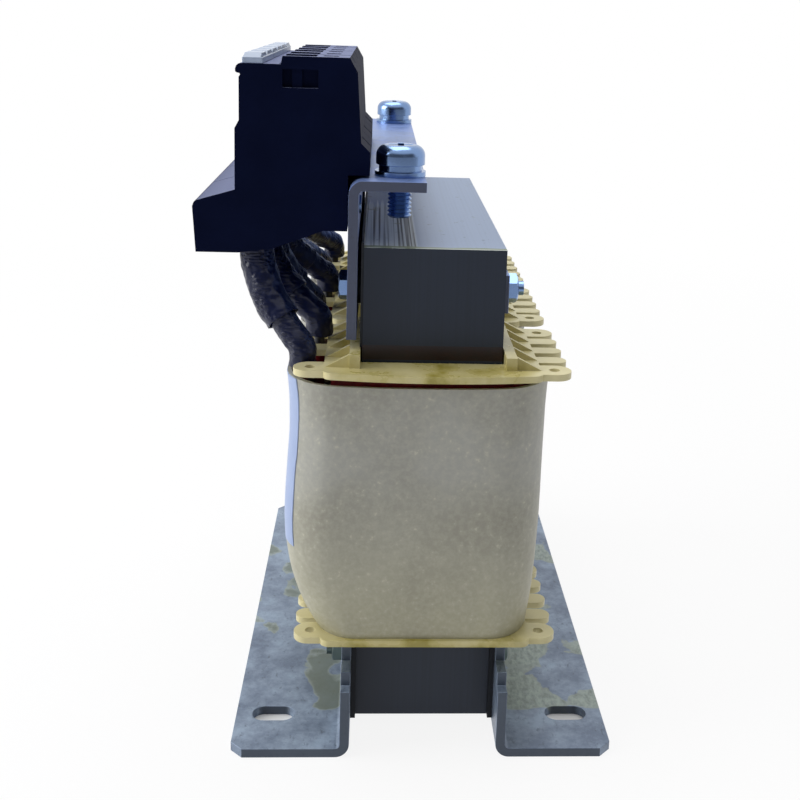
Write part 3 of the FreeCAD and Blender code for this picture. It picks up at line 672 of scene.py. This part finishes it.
@dataclass(frozen=True)
class TapedWinding(Finish):
    """Enamelled copper coil under dark red tape, with its tails blackened by varnish."""

    tail_colour: str = "#070a14"
    grain_colour: str = "#3d0d12"
    tails_above: float = 80.5 * MM
    fibre_size: float = 1.5 * MM

    def detail(self, tree: Tree, shader: Node, place: Node) -> None:
        """Mottle the tape and blacken the tails.

        Args:
            tree: The material's node tree.
            shader: Its surface shader.
            place: Its texture coordinates.
        """
        where = place.outputs["Object"]
        split = add_node(tree, "SeparateXYZ", None, {0: where})
        fibre = add_node(tree, "TexNoise", {"Scale": 1 / self.fibre_size, "Detail": 4.0},
                         {"Vector": where})
        tape = add_node(tree, "Mix",
                        {"data_type": "RGBA", 6: linear(self.colour), 7: linear(self.grain_colour)},
                        {0: fibre})
        tail = add_node(tree, "MapRange",
                        {"From Min": self.tails_above, "From Max": self.tails_above + 0.5 * MM},
                        {"Value": split.outputs["Z"]})
        final = add_node(tree, "Mix", {"data_type": "RGBA", 7: linear(self.tail_colour)},
                         {0: tail, 6: tape.outputs[2]})
        tree.links.new(final.outputs[2], shader.inputs["Base Color"])


@dataclass(frozen=True)
class Board(Finish):
    """Pressed board or hard paper with a fibrous edge."""

    edge_colour: str = "#14161c"
    fibre_size: float = 1.2 * MM

    def detail(self, tree: Tree, shader: Node, place: Node) -> None:
        """Mottle the board with darker fibres.

        Args:
            tree: The material's node tree.
            shader: Its surface shader.
            place: Its texture coordinates.
        """
        fibre = add_node(tree, "TexNoise", {"Scale": 1 / self.fibre_size, "Detail": 5.0},
                         {"Vector": place.outputs["Object"]})
        final = add_node(tree, "Mix",
                         {"data_type": "RGBA", 6: linear(self.colour), 7: linear(self.edge_colour)},
                         {0: fibre})
        tree.links.new(final.outputs[2], shader.inputs["Base Color"])


# Sheets on edge: near black at the sides with painted shade to the left, a pale grey-blue
# above from painted sky light, with a painted highlight along its near edge.
CORE_STEEL = LaminatedSteel("varnished_core_steel", "#28303f", 0.42, specular=0.3)
# Dull plating: a clouded blue-grey without a clear reflection.
FOOT_ZINC = ZincSheet("dull_zinc_feet", "#66748a", 0.42, 0.3)
BRACKET_ZINC = ZincSheet("dull_zinc_bracket", "#6a82b8", 0.4, 0.3, pale_colour="#7a90c6",
                         film_share=0.1, end_colour="#464956")
# Bright plating: bluish, with sharp lights and black reflections.
BRIGHT_ZINC = BrightZinc("blue_passivated_zinc", "#7a95c0", 0.18, 1.0)
# Darker, greener and duller zinc on the bottom yoke's bolts and nuts.
DULLED_ZINC = BrightZinc("dark_dulled_zinc", "#5f6d6a", 0.35, 0.8)
CLAMP_METAL = BrightZinc("tinned_clamp", "#77756c", 0.3, 1.0)
# Paper board under thin varnish: a soft grey beige with a faint gloss.
WRAP_PAPER = MottledWrap("varnished_pressboard_wrap", "#a5a59e", 0.5, coat=0.1,
                         coat_roughness=0.4)
# Natural nylon: cream where it is clean, yellow and glossy under varnish.
BOBBIN_NYLON = VarnishedNylon("cream_moulded_nylon", "#dcd3a6", 0.42)
# Dyed nylon: deep navy and matt, pale on its upper faces from dust and painted sky light.
BLOCK_NYLON = GrainedPlastic("navy_moulded_nylon", "#030820", 0.6, specular=0.04)
# Milky plastic: pale, with a coarse uneven surface, paler on its upper faces from dust and
# painted sky light.
MARKER_PLASTIC = GrainedPlastic("milky_marker_plastic", "#aab8d0", 0.35, grain=1.1 * MM,
                                relief=0.6, tone_colour="#9dacc6", dust_and_sky_colour="#b6c2d6")
# Plastic film: pale blue and smooth.
LABEL_PAPER = GrainedPlastic("bare_label_film", "#9fb0d4", 0.4, relief=0.05,
                             tone_colour="#95a7cd", dust_and_sky_colour="#9fb0d4")
# Dipped glass braid: blue-black, with small wet lights.
SLEEVING = VarnishedBraid("varnished_black_sleeving", "#061033", 0.35, specular=0.2, coat=0.3,
                          coat_roughness=0.12)
# Boards soaked in varnish: nearly black, the gap board with a trace of red.
DARK_BOARD = Board("varnish_soaked_board", "#20242b", 0.5, specular=0.2)
GAP_BOARD = Board("dark_gap_board", "#14151d", 0.28, specular=0.35, edge_colour="#2a1014")
# Woven tape: dark red and matt.
WINDING_TAPE = TapedWinding("dark_red_winding_tape", "#8c1a22", 0.4)


def only(piece: Piece) -> None:
    """Select one piece and make it active.

    Args:
        piece: The piece.
    """
    bpy.ops.object.select_all(action="DESELECT")
    piece.hide_set(False)
    piece.select_set(True)
    bpy.context.view_layer.objects.active = piece


def apply_modifier(piece: Piece, kind: str, **settings: object) -> None:
    """Add a modifier to a piece and apply it.

    Args:
        piece: The piece to change.
        kind: Modifier type.
        settings: The modifier's properties.
    """
    modifier = piece.modifiers.new(kind.lower(), kind)
    for name, value in settings.items():
        setattr(modifier, name, value)
    only(piece)
    bpy.ops.object.modifier_apply(modifier=modifier.name)


def settle(piece: Piece, name: str, finish: Finish, node: str) -> Piece:
    """Name, dress and seat a finished piece.

    Args:
        piece: The piece, in place.
        name: Its name.
        finish: Its finish.
        node: The CAD node that it stands for.

    Returns:
        The piece.
    """
    only(piece)
    bpy.ops.object.transform_apply(location=True, rotation=True, scale=True)
    piece.name = name
    piece.data.name = name
    piece.data.materials.clear()
    piece.data.materials.append(finish.material())
    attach(piece, "root")
    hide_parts(node)
    LOG.info("%s: %d faces", name, len(piece.data.polygons))
    return piece


def own_copy(source: Piece) -> Piece:
    """Copy an object with a mesh of its own, and select the copy.

    Args:
        source: A CAD node or a finished piece.

    Returns:
        The copy, which rides on nothing yet.
    """
    piece = source.copy()
    piece.data = source.data.copy()
    piece.parent = None
    for key in list(piece.keys()):
        del piece[key]
    bpy.context.scene.collection.objects.link(piece)
    only(piece)
    return piece


def merged_copy(node: Piece) -> Piece:
    """Copy a CAD node and join its loose triangles.

    Args:
        node: The CAD node.

    Returns:
        The copy.
    """
    piece = own_copy(node)
    bpy.ops.object.mode_set(mode="EDIT")
    bpy.ops.mesh.select_all(action="SELECT")
    bpy.ops.mesh.remove_doubles(threshold=0.002 * MM)
    bpy.ops.mesh.dissolve_limited(angle_limit=math.radians(0.5))
    bpy.ops.object.mode_set(mode="OBJECT")
    if piece.data.has_custom_normals:
        bpy.ops.mesh.customdata_custom_splitnormals_clear()
    return piece


def slice_mesh(axis: int, start: float, end: float, count: int) -> None:
    """Cut the mesh in edit mode into even slices.

    Args:
        axis: 0 for X, 1 for Y, 2 for Z.
        start: Where the first slice begins.
        end: Where the last slice ends.
        count: The number of slices.
    """
    for step in range(1, count):
        place, way = Vector((0, 0, 0)), Vector((0, 0, 0))
        place[axis] = start + (end - start) * step / count
        way[axis] = 1.0
        bpy.ops.mesh.select_all(action="SELECT")
        bpy.ops.mesh.bisect(plane_co=place, plane_no=way)


def cloud_texture(name: str, size: float) -> bpy.types.Texture:
    """Make a cloud pattern for the Displace modifier once.

    Args:
        name: Its name.
        size: The size of a cloud.

    Returns:
        The pattern.
    """
    texture = bpy.data.textures.get(name) or bpy.data.textures.new(name, "CLOUDS")
    texture.noise_scale = size
    return texture


@dataclass
class RoundedPart:
    """A CAD node whose sharp edges are broken, as moulding, plating or punching leaves them."""

    node: str
    finish: Finish
    slot: str
    edge: float = 0.2 * MM
    segments: int = 2
    crease: float = math.radians(35)

    def build(self, nodes: dict) -> Piece:
        """Make the rounded copy.

        Args:
            nodes: CAD node objects by name.

        Returns:
            The piece that stands for the node.
        """
        piece = merged_copy(nodes[self.node])
        self.break_edges(piece)
        return settle(piece, self.node + "_rounded", self.finish, self.node)

    def break_edges(self, piece: Piece) -> None:
        """Round the sharp edges and keep the flat faces flat.

        Args:
            piece: The piece to change.
        """
        only(piece)
        bpy.ops.object.shade_smooth_by_angle(angle=self.crease)
        apply_modifier(piece, "BEVEL", width=self.edge, segments=self.segments,
                       limit_method="ANGLE", angle_limit=self.crease, use_clamp_overlap=True,
                       harden_normals=True)


@dataclass
class LongBoard(RoundedPart):
    """The board between bracket and core, which stands up to the bend and runs to its rear."""

    rise: float = 2.5 * MM
    rear_gap: float = 1 * MM
    same_face: float = 0.1 * MM

    def break_edges(self, piece: Piece) -> None:
        """Raise the upper edge and lengthen the rear, then round the sharp edges.

        Args:
            piece: The piece to change.
        """
        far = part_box(self.node)[1]
        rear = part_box("terminal_bracket")[1].y - self.rear_gap
        for vertex in piece.data.vertices:
            if vertex.co.z > far.z - self.same_face:
                vertex.co.z += self.rise
            if vertex.co.y > far.y - self.same_face:
                vertex.co.y = rear
        super().break_edges(piece)


@dataclass
class EarthScrews(RoundedPart):
    """The two earth screws, with their thread below the bracket flange."""

    pitch: float = 0.8 * MM
    crest: float = 2.5 * MM
    root: float = 2.05 * MM
    steps: int = 28
    flange: float = 2 * MM

    def build(self, nodes: dict) -> Piece:
        """Cut the plain shanks off and put threaded ones in their place.

        Args:
            nodes: CAD node objects by name.

        Returns:
            The piece that stands for both screws.
        """
        low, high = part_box(self.node)
        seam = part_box("terminal_bracket")[1].z - self.flange / 2
        piece = merged_copy(nodes[self.node])
        only(piece)
        bpy.ops.object.mode_set(mode="EDIT")
        bpy.ops.mesh.select_all(action="SELECT")
        bpy.ops.mesh.bisect(plane_co=(0, 0, seam), plane_no=(0, 0, 1), clear_inner=True,
                            use_fill=True)
        bpy.ops.object.mode_set(mode="OBJECT")
        self.break_edges(piece)
        reach = (high.x - low.x) / 2
        pair = [piece]
        for y in (low.y + reach, high.y - reach):
            pair.append(self.thread((low.x + high.x) / 2, y, low.z, seam))
        bpy.ops.object.select_all(action="DESELECT")
        for part in pair:
            part.select_set(True)
        bpy.context.view_layer.objects.active = piece
        bpy.ops.object.join()
        return settle(piece, self.node + "_threaded", self.finish, self.node)

    def thread(self, x: float, y: float, low: float, high: float) -> Piece:
        """Make one threaded shank.

        Args:
            x: Its axis across.
            y: Its axis along.
            low: Height of its point.
            high: Height where it meets the plain screw.

        Returns:
            The shank, a closed mesh.
        """
        turns = round((high - low) / self.pitch)
        bpy.ops.object.select_all(action="DESELECT")
        bpy.ops.mesh.primitive_cylinder_add(vertices=self.steps, radius=self.root,
                                            depth=high - low,
                                            location=(x, y, (low + high) / 2))
        shank = bpy.context.active_object
        bpy.ops.object.transform_apply(location=True, rotation=True, scale=True)
        bpy.ops.object.mode_set(mode="EDIT")
        slice_mesh(2, low, high, 2 * turns)
        bpy.ops.object.mode_set(mode="OBJECT")
        for vertex in shank.data.vertices:
            level = round((vertex.co.z - low) / (high - low) * 2 * turns)
            if level % 2:
                vertex.co.x = x + (vertex.co.x - x) * self.crest / self.root
                vertex.co.y = y + (vertex.co.y - y) * self.crest / self.root
        return shank


@dataclass
class CrumpledLead:
    """A lead or its sleeve, lumpy where varnish stiffened the braid."""

    node: str
    voxel: float = 0.3 * MM
    lump: float = 2.3 * MM
    height: float = 0.7 * MM
    mid_level: float = 0.62
    smoothings: int = 4

    def build(self, nodes: dict) -> Piece:
        """Make the lumpy copy.

        Args:
            nodes: CAD node objects by name.

        Returns:
            The piece that stands for the node.
        """
        piece = merged_copy(nodes[self.node])
        apply_modifier(piece, "REMESH", mode="VOXEL", voxel_size=self.voxel)
        apply_modifier(piece, "DISPLACE", texture=cloud_texture("varnish_lumps", self.lump),
                       texture_coords="LOCAL", strength=self.height, mid_level=self.mid_level)
        apply_modifier(piece, "SMOOTH", factor=0.5, iterations=self.smoothings)
        only(piece)
        bpy.ops.object.shade_smooth()
        return settle(piece, self.node + "_braided", SLEEVING, self.node)


@dataclass
class CoilWrap:
    """Wrapped coil cover: a barrel tube of varnished pressboard, drawn in at its foot."""

    thickness: float = 0.8 * MM
    radius: float = 10.5 * MM
    rings: int = 26
    right_draws: tuple = (2.3, 1.1, 0.5, 0.0)
    left_draws: tuple = (6.0, 1.2, 0.0, 0.0)
    end_draws: tuple = (0.6, 0.1, 0.0, 0.2)
    shares: tuple = (0.0, 0.2, 0.6, 1.0)
    wrinkle: float = 9 * MM
    wrinkle_height: float = 0.22 * MM
    wrinkle_level: float = 0.7
    rim_dip: float = 0.65 * MM
    rim_share: float = 0.9
    corner_segments: int = 12
    columns: int = 14
    bands: int = 8

    def draw_at(self, share: float, draws: Sequence[float]) -> float:
        """Return how far a wall is drawn in at a share of the height.

        Args:
            share: From 0 at the foot to 1 at the top.
            draws: The wall's draws at the four named shares, in millimetres.

        Returns:
            The draw in metres, on one smooth curve.
        """
        total = 0.0
        for i, here in enumerate(self.shares):
            part = draws[i]
            for j, other in enumerate(self.shares):
                if j != i:
                    part *= (share - other) / (here - other)
            total += part
        return total * MM

    def build(self, coil: Coil) -> Piece:
        """Model the wrap of one coil.

        Args:
            coil: Which coil.

        Returns:
            The piece.
        """
        node = "coil_wrap_" + coil.value
        low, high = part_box(node)
        piece = self.tube(low, high)
        self.draw_in(piece, low, high)
        apply_modifier(piece, "SUBSURF", levels=1, render_levels=1)
        apply_modifier(piece, "DISPLACE", texture=cloud_texture("wrap_wrinkles", self.wrinkle),
                       texture_coords="LOCAL", strength=self.wrinkle_height,
                       mid_level=self.wrinkle_level)
        apply_modifier(piece, "SOLIDIFY", thickness=self.thickness, offset=-1.0)
        only(piece)
        bpy.ops.object.shade_smooth_by_angle(angle=math.radians(40))
        return settle(piece, node + "_paper", WRAP_PAPER, node)

    def tube(self, low: Vector, high: Vector) -> Piece:
        """Make an open tube with round corners, sliced for the shaping that follows.

        Args:
            low: The wrap's lowest corner.
            high: Its highest corner.

        Returns:
            The tube, one sheet thick.
        """
        bpy.ops.object.select_all(action="DESELECT")
        bpy.ops.mesh.primitive_cube_add(size=1.0, location=(low + high) / 2, scale=high - low)
        piece = bpy.context.active_object
        bpy.ops.object.transform_apply(location=True, rotation=True, scale=True)
        bpy.ops.object.mode_set(mode="EDIT")
        bpy.ops.mesh.select_mode(type="FACE")
        bpy.ops.mesh.select_all(action="DESELECT")
        bpy.ops.object.mode_set(mode="OBJECT")
        for face in piece.data.polygons:
            face.select = abs(face.normal.z) > 0.9
        bpy.ops.object.mode_set(mode="EDIT")
        bpy.ops.mesh.delete(type="FACE")
        bpy.ops.mesh.select_mode(type="EDGE")
        bpy.ops.mesh.select_all(action="DESELECT")
        bpy.ops.object.mode_set(mode="OBJECT")
        points = piece.data.vertices
        for edge in piece.data.edges:
            start, end = (points[i].co for i in edge.vertices)
            edge.select = abs(start.z - end.z) > self.radius
        bpy.ops.object.mode_set(mode="EDIT")
        bpy.ops.mesh.bevel(offset=self.radius, segments=self.corner_segments, affect="EDGES")
        for axis, count in enumerate((self.columns, self.bands, self.rings)):
            slice_mesh(axis, low[axis], high[axis], count)
        bpy.ops.object.mode_set(mode="OBJECT")
        return piece

    def draw_in(self, piece: Piece, low: Vector, high: Vector) -> None:
        """Draw the walls in towards the foot, and dip the rim at its front and back.

        Args:
            piece: The tube.
            low: The wrap's lowest corner.
            high: Its highest corner.
        """
        left, right = low.x, high.x
        middle, half = (low.y + high.y) / 2, (high.y - low.y) / 2
        for vertex in piece.data.vertices:
            share = (vertex.co.z - low.z) / (high.z - low.z)
            new_left = left + self.draw_at(share, self.left_draws)
            new_right = right - self.draw_at(share, self.right_draws)
            along = (vertex.co.x - left) / (right - left)
            vertex.co.x = new_left + along * (new_right - new_left)
            new_half = half - self.draw_at(share, self.end_draws)
            vertex.co.y = middle + (vertex.co.y - middle) * new_half / half
            bulge = max(0.0, 1 - (2 * along - 1) ** 2)
            rim = max(0.0, share - self.rim_share) / (1 - self.rim_share)
            vertex.co.z -= self.rim_dip * bulge * rim


@dataclass
class CoilLabel:
    """Bare film label on the left side of the front coil, lying on its wrap."""

    thickness: float = 0.15 * MM
    outward: float = -0.05

    def build(self, wrap: Piece) -> Piece:
        """Cut the label out of the wrap's outer skin.

        Args:
            wrap: The front coil's wrap.

        Returns:
            The piece.
        """
        low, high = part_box("coil_label")
        piece = own_copy(wrap)
        bpy.ops.object.mode_set(mode="EDIT")
        for place, way in (((0, low.y, 0), (0, 1, 0)), ((0, high.y, 0), (0, -1, 0)),
                           ((0, 0, low.z), (0, 0, 1)), ((0, 0, high.z), (0, 0, -1)),
                           ((high.x, 0, 0), (-1, 0, 0))):
            bpy.ops.mesh.select_all(action="SELECT")
            bpy.ops.mesh.bisect(plane_co=place, plane_no=way, clear_inner=True)
        bpy.ops.mesh.select_mode(type="FACE")
        bpy.ops.mesh.select_all(action="DESELECT")
        bpy.ops.object.mode_set(mode="OBJECT")
        for face in piece.data.polygons:
            face.select = face.normal.x > self.outward
        bpy.ops.object.mode_set(mode="EDIT")
        bpy.ops.mesh.delete(type="FACE")
        bpy.ops.object.mode_set(mode="OBJECT")
        apply_modifier(piece, "SOLIDIFY", thickness=self.thickness, offset=1.0)
        return settle(piece, "coil_label_film", LABEL_PAPER, "coil_label")


@dataclass
class Studio:
    """White floor, two soft lamps and the camera.

    The room in front is dim, which shows in the bright metal. The floor under the feet,
    seen through their slots, gets no white of its own.
    """

    camera_place: tuple = (-12.04 * MM, -272.61 * MM, 152.85 * MM)
    yaw: float = 0.059
    pitch: float = 0.211
    roll: float = -0.034
    focal_pixels: float = 1148.5
    centre_u: float = 441.5
    centre_v: float = 256.3
    frame_pixels: int = 800
    sensor: float = 36.0
    floor_reach: float = 20.0
    near_white: float = 0.1
    far_white: float = 0.5
    room_strength: float = 0.38
    dim_front: float = 0.6
    glossy_dim: float = 0.85
    front_from: float = -80 * MM
    front_to: float = -200 * MM
    under_inner: float = 23 * MM
    under_outer: float = 39 * MM
    under_ends: float = 58 * MM

    def add_camera(self) -> None:
        """Place the camera by its turn, pitch and roll."""
        turn, dip = self.yaw, self.pitch
        ahead = Vector((math.sin(turn) * math.cos(dip), math.cos(turn) * math.cos(dip),
                        -math.sin(dip)))
        side = Vector((math.cos(turn), -math.sin(turn), 0.0))
        down = ahead.cross(side)
        right = math.cos(self.roll) * side + math.sin(self.roll) * down
        below = -math.sin(self.roll) * side + math.cos(self.roll) * down
        turned = Matrix((right, -below, -ahead)).transposed().to_4x4()
        data = bpy.data.cameras.new("camera")
        data.sensor_width = self.sensor
        data.lens = self.sensor * self.focal_pixels / self.frame_pixels
        data.shift_x = (self.frame_pixels / 2 - self.centre_u) / self.frame_pixels
        data.shift_y = (self.centre_v - self.frame_pixels / 2) / self.frame_pixels
        data.clip_start = 0.01
        camera = bpy.data.objects.new("camera", data)
        camera.matrix_world = Matrix.Translation(self.camera_place) @ turned
        bpy.context.scene.collection.objects.link(camera)
        bpy.context.scene.camera = camera

    def shown_rays(self, tree: Tree) -> Socket:
        """Tell the rays that show the background from those that light things.

        Args:
            tree: Node tree that gets the nodes.

        Returns:
            A socket with 1 for the rays that show it and 0 for the others.
        """
        ray = add_node(tree, "LightPath")
        mirrored = add_node(tree, "Math", {"operation": "MAXIMUM"},
                            {0: ray.outputs["Is Glossy Ray"],
                             1: ray.outputs["Is Transmission Ray"]})
        shown = add_node(tree, "Math", {"operation": "MAXIMUM"},
                         {0: mirrored, 1: ray.outputs["Is Camera Ray"]})
        return shown.outputs[0]

    def add_floor(self) -> None:
        """Lay the white floor, which keeps the object's soft shadow."""
        bpy.ops.object.select_all(action="DESELECT")
        bpy.ops.mesh.primitive_circle_add(vertices=64, radius=self.floor_reach,
                                          fill_type="NGON", location=(0, 0, 0))
        floor = bpy.context.active_object
        floor.name = "floor"
        material = bpy.data.materials.new("white_floor")
        material.use_nodes = True
        tree = material.node_tree
        shader = tree.nodes["Principled BSDF"]
        shader.inputs["Base Color"].default_value = linear("#f4f4f6")
        shader.inputs["Roughness"].default_value = 0.9
        glow = add_node(tree, "Emission", {"Color": (1, 1, 1, 1), "Strength": 1.0})
        place = add_node(tree, "TexCoord")
        split = add_node(tree, "SeparateXYZ", None, {0: place.outputs["Object"]})
        away = add_node(tree, "VectorMath", {"operation": "LENGTH"}, {0: place.outputs["Object"]})
        whiteness = add_node(tree, "MapRange",
                             {"From Min": self.near_white, "From Max": self.far_white,
                              "To Min": 0.88, "To Max": 1.0}, {"Value": away.outputs["Value"]})
        ray = add_node(tree, "LightPath")
        front = add_node(tree, "MapRange", {"From Min": self.front_from, "From Max": self.front_to},
                         {"Value": split.outputs["Y"]})
        dim = add_node(tree, "Math", {"operation": "MULTIPLY"},
                       {0: front, 1: ray.outputs["Is Glossy Ray"]})
        under = self.under_feet(tree, split)
        dark = add_node(tree, "Math", {"operation": "MAXIMUM"}, {0: dim, 1: under})
        lit = add_node(tree, "Math", {"operation": "MULTIPLY_ADD", 1: -0.95, 2: 1.0}, {0: dark})
        shown = add_node(tree, "Math", {"operation": "MULTIPLY"},
                         {0: self.shown_rays(tree), 1: lit})
        share = add_node(tree, "Math", {"operation": "MULTIPLY"}, {0: shown, 1: whiteness})
        mixed = add_node(tree, "MixShader", None, {0: share, 1: shader, 2: glow})
        tree.links.new(mixed.outputs[0], tree.nodes["Material Output"].inputs["Surface"])
        floor.data.materials.append(material)

    def under_feet(self, tree: Tree, split: Node) -> Node:
        """Find the floor that the feet cover, seen only through their slots.

        Args:
            tree: The floor's node tree.
            split: The floor's place along X, Y and Z.

        Returns:
            1 on that floor.
        """
        across = add_node(tree, "Math", {"operation": "ABSOLUTE"}, {0: split.outputs["X"]})
        along = add_node(tree, "Math", {"operation": "ABSOLUTE"}, {0: split.outputs["Y"]})
        inner = add_node(tree, "Math", {"operation": "GREATER_THAN", 1: self.under_inner},
                         {0: across})
        outer = add_node(tree, "Math", {"operation": "LESS_THAN", 1: self.under_outer}, {0: across})
        ends = add_node(tree, "Math", {"operation": "LESS_THAN", 1: self.under_ends}, {0: along})
        band = add_node(tree, "Math", {"operation": "MULTIPLY"}, {0: inner, 1: outer})
        return add_node(tree, "Math", {"operation": "MULTIPLY"}, {0: band, 1: ends})

    def add_lamp(self, name: str, place: tuple, aim: tuple, size: float, watts: float) -> None:
        """Hang one square lamp.

        Args:
            name: Its name.
            place: Where it hangs.
            aim: What it points at.
            size: Its side.
            watts: Its power.
        """
        data = bpy.data.lights.new(name, "AREA")
        data.size = size
        data.energy = watts
        lamp = bpy.data.objects.new(name, data)
        lamp.location = place
        direction = Vector(aim) - Vector(place)
        lamp.rotation_euler = direction.to_track_quat("-Z", "Y").to_euler()
        bpy.context.scene.collection.objects.link(lamp)

    def light_world(self) -> None:
        """Fill the room with plain light, dimmer low down in front, and show it as white."""
        world = bpy.data.worlds.new("room")
        bpy.context.scene.world = world
        world.use_nodes = True
        tree = world.node_tree
        place = add_node(tree, "TexCoord")
        split = add_node(tree, "SeparateXYZ", None, {0: place.outputs["Generated"]})
        ahead = add_node(tree, "MapRange", {"From Min": -0.2, "From Max": -0.45},
                         {"Value": split.outputs["Y"]})
        low = add_node(tree, "MapRange", {"From Min": 0.7, "From Max": 0.45},
                       {"Value": split.outputs["Z"]})
        dim = add_node(tree, "Math", {"operation": "MULTIPLY"}, {0: ahead, 1: low})
        strength = add_node(tree, "Math",
                            {"operation": "MULTIPLY_ADD", 1: -self.dim_front * self.room_strength,
                             2: self.room_strength}, {0: dim})
        room = tree.nodes["Background"]
        room.inputs["Color"].default_value = (1.0, 1.0, 1.0, 1.0)
        tree.links.new(strength.outputs[0], room.inputs["Strength"])
        ray = add_node(tree, "LightPath")
        unseen = add_node(tree, "Math", {"operation": "SUBTRACT", 0: 1.0},
                          {1: ray.outputs["Is Camera Ray"]})
        mirrored = add_node(tree, "Math", {"operation": "MULTIPLY"}, {0: unseen, 1: dim})
        shine = add_node(tree, "Math", {"operation": "MULTIPLY_ADD", 1: -self.glossy_dim, 2: 1.0},
                         {0: mirrored})
        white = add_node(tree, "Background", {"Color": (1, 1, 1, 1)}, {"Strength": shine})
        mixed = add_node(tree, "MixShader", None, {0: self.shown_rays(tree), 1: room, 2: white})
        tree.links.new(mixed.outputs[0], tree.nodes["World Output"].inputs["Surface"])

    def build(self) -> None:
        """Set up the whole studio."""
        bpy.context.scene.view_settings.view_transform = "Standard"
        self.add_camera()
        self.add_floor()
        self.light_world()
        self.add_lamp("overhead", place=(-0.1, 0.2, 0.95), aim=(0, 0, 0.08), size=0.8, watts=5.5)
        self.add_lamp("left", place=(-0.9, -0.1, 0.4), aim=(0, 0, 0.06), size=0.6, watts=6.2)


POLES = range(1, 4)
LEADS = range(1, 7)

PLAIN_NODES = {
    "core_legs": CORE_STEEL, "top_yoke": CORE_STEEL, "terminal_rail": BRACKET_ZINC,
    "foot_insulation_left": DARK_BOARD, "foot_insulation_right": DARK_BOARD,
    "bracket_spacers": DARK_BOARD, "flat_washers": BRIGHT_ZINC, "spring_washers": BRIGHT_ZINC,
    "rail_rivets": BRIGHT_ZINC, "wire_clamps": CLAMP_METAL,
    **{"gap_spacer_" + coil.value: GAP_BOARD for coil in Coil},
    **{"winding_" + coil.value: WINDING_TAPE for coil in Coil},
}

ROUNDED_PARTS = (
    RoundedPart("foot_left", FOOT_ZINC, "zinc_sheet", 0.25 * MM),
    RoundedPart("foot_right", FOOT_ZINC, "zinc_sheet", 0.25 * MM),
    RoundedPart("terminal_bracket", BRACKET_ZINC, "zinc_sheet", 0.2 * MM),
    RoundedPart("clamp_strip", BRACKET_ZINC, "zinc_sheet", 0.15 * MM),
    LongBoard("bracket_insulation", DARK_BOARD, "pressboard", 0.1 * MM),
    RoundedPart("top_yoke_bolts", BRIGHT_ZINC, "zinc_fasteners", 0.15 * MM),
    RoundedPart("top_yoke_nuts", BRIGHT_ZINC, "zinc_fasteners", 0.15 * MM),
    RoundedPart("bottom_yoke_bolts", DULLED_ZINC, "zinc_fasteners", 0.15 * MM),
    RoundedPart("bottom_yoke_nuts", DULLED_ZINC, "zinc_fasteners", 0.15 * MM),
    EarthScrews("earth_screws", BRIGHT_ZINC, "zinc_fasteners", 0.15 * MM),
    *(RoundedPart("bobbin_" + coil.value, BOBBIN_NYLON, "bobbin_nylon", 0.3 * MM)
      for coil in Coil),
    *(RoundedPart("terminal_block_%d" % pole, BLOCK_NYLON, "block_nylon", 0.2 * MM)
      for pole in POLES),
    *(RoundedPart("marker_strip_%d" % pole, MARKER_PLASTIC, "marker_plastic", 0.25 * MM)
      for pole in POLES),
)


def dress_plain_nodes(nodes: dict) -> None:
    """Give the CAD nodes that stay their finishes.

    Args:
        nodes: CAD node objects by name.
    """
    for name, finish in PLAIN_NODES.items():
        piece = nodes[name]
        if not piece.material_slots:
            piece.data.materials.append(finish.material())
        for slot in piece.material_slots:
            slot.material = finish.material()


def main() -> None:
    """Build the studio and every piece of the reactor."""
    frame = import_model()
    nodes = frame["nodes"]
    Studio().build()
    dress_plain_nodes(nodes)
    for part in ROUNDED_PARTS:
        part.build(nodes)
    for number in LEADS:
        CrumpledLead("lead_%d" % number).build(nodes)
        CrumpledLead("lead_sleeve_%d" % number, voxel=0.22 * MM).build(nodes)
    wraps = {coil: CoilWrap().build(coil) for coil in Coil}
    CoilLabel().build(wraps[Coil.FRONT])


if __name__ == "__main__":
    main()
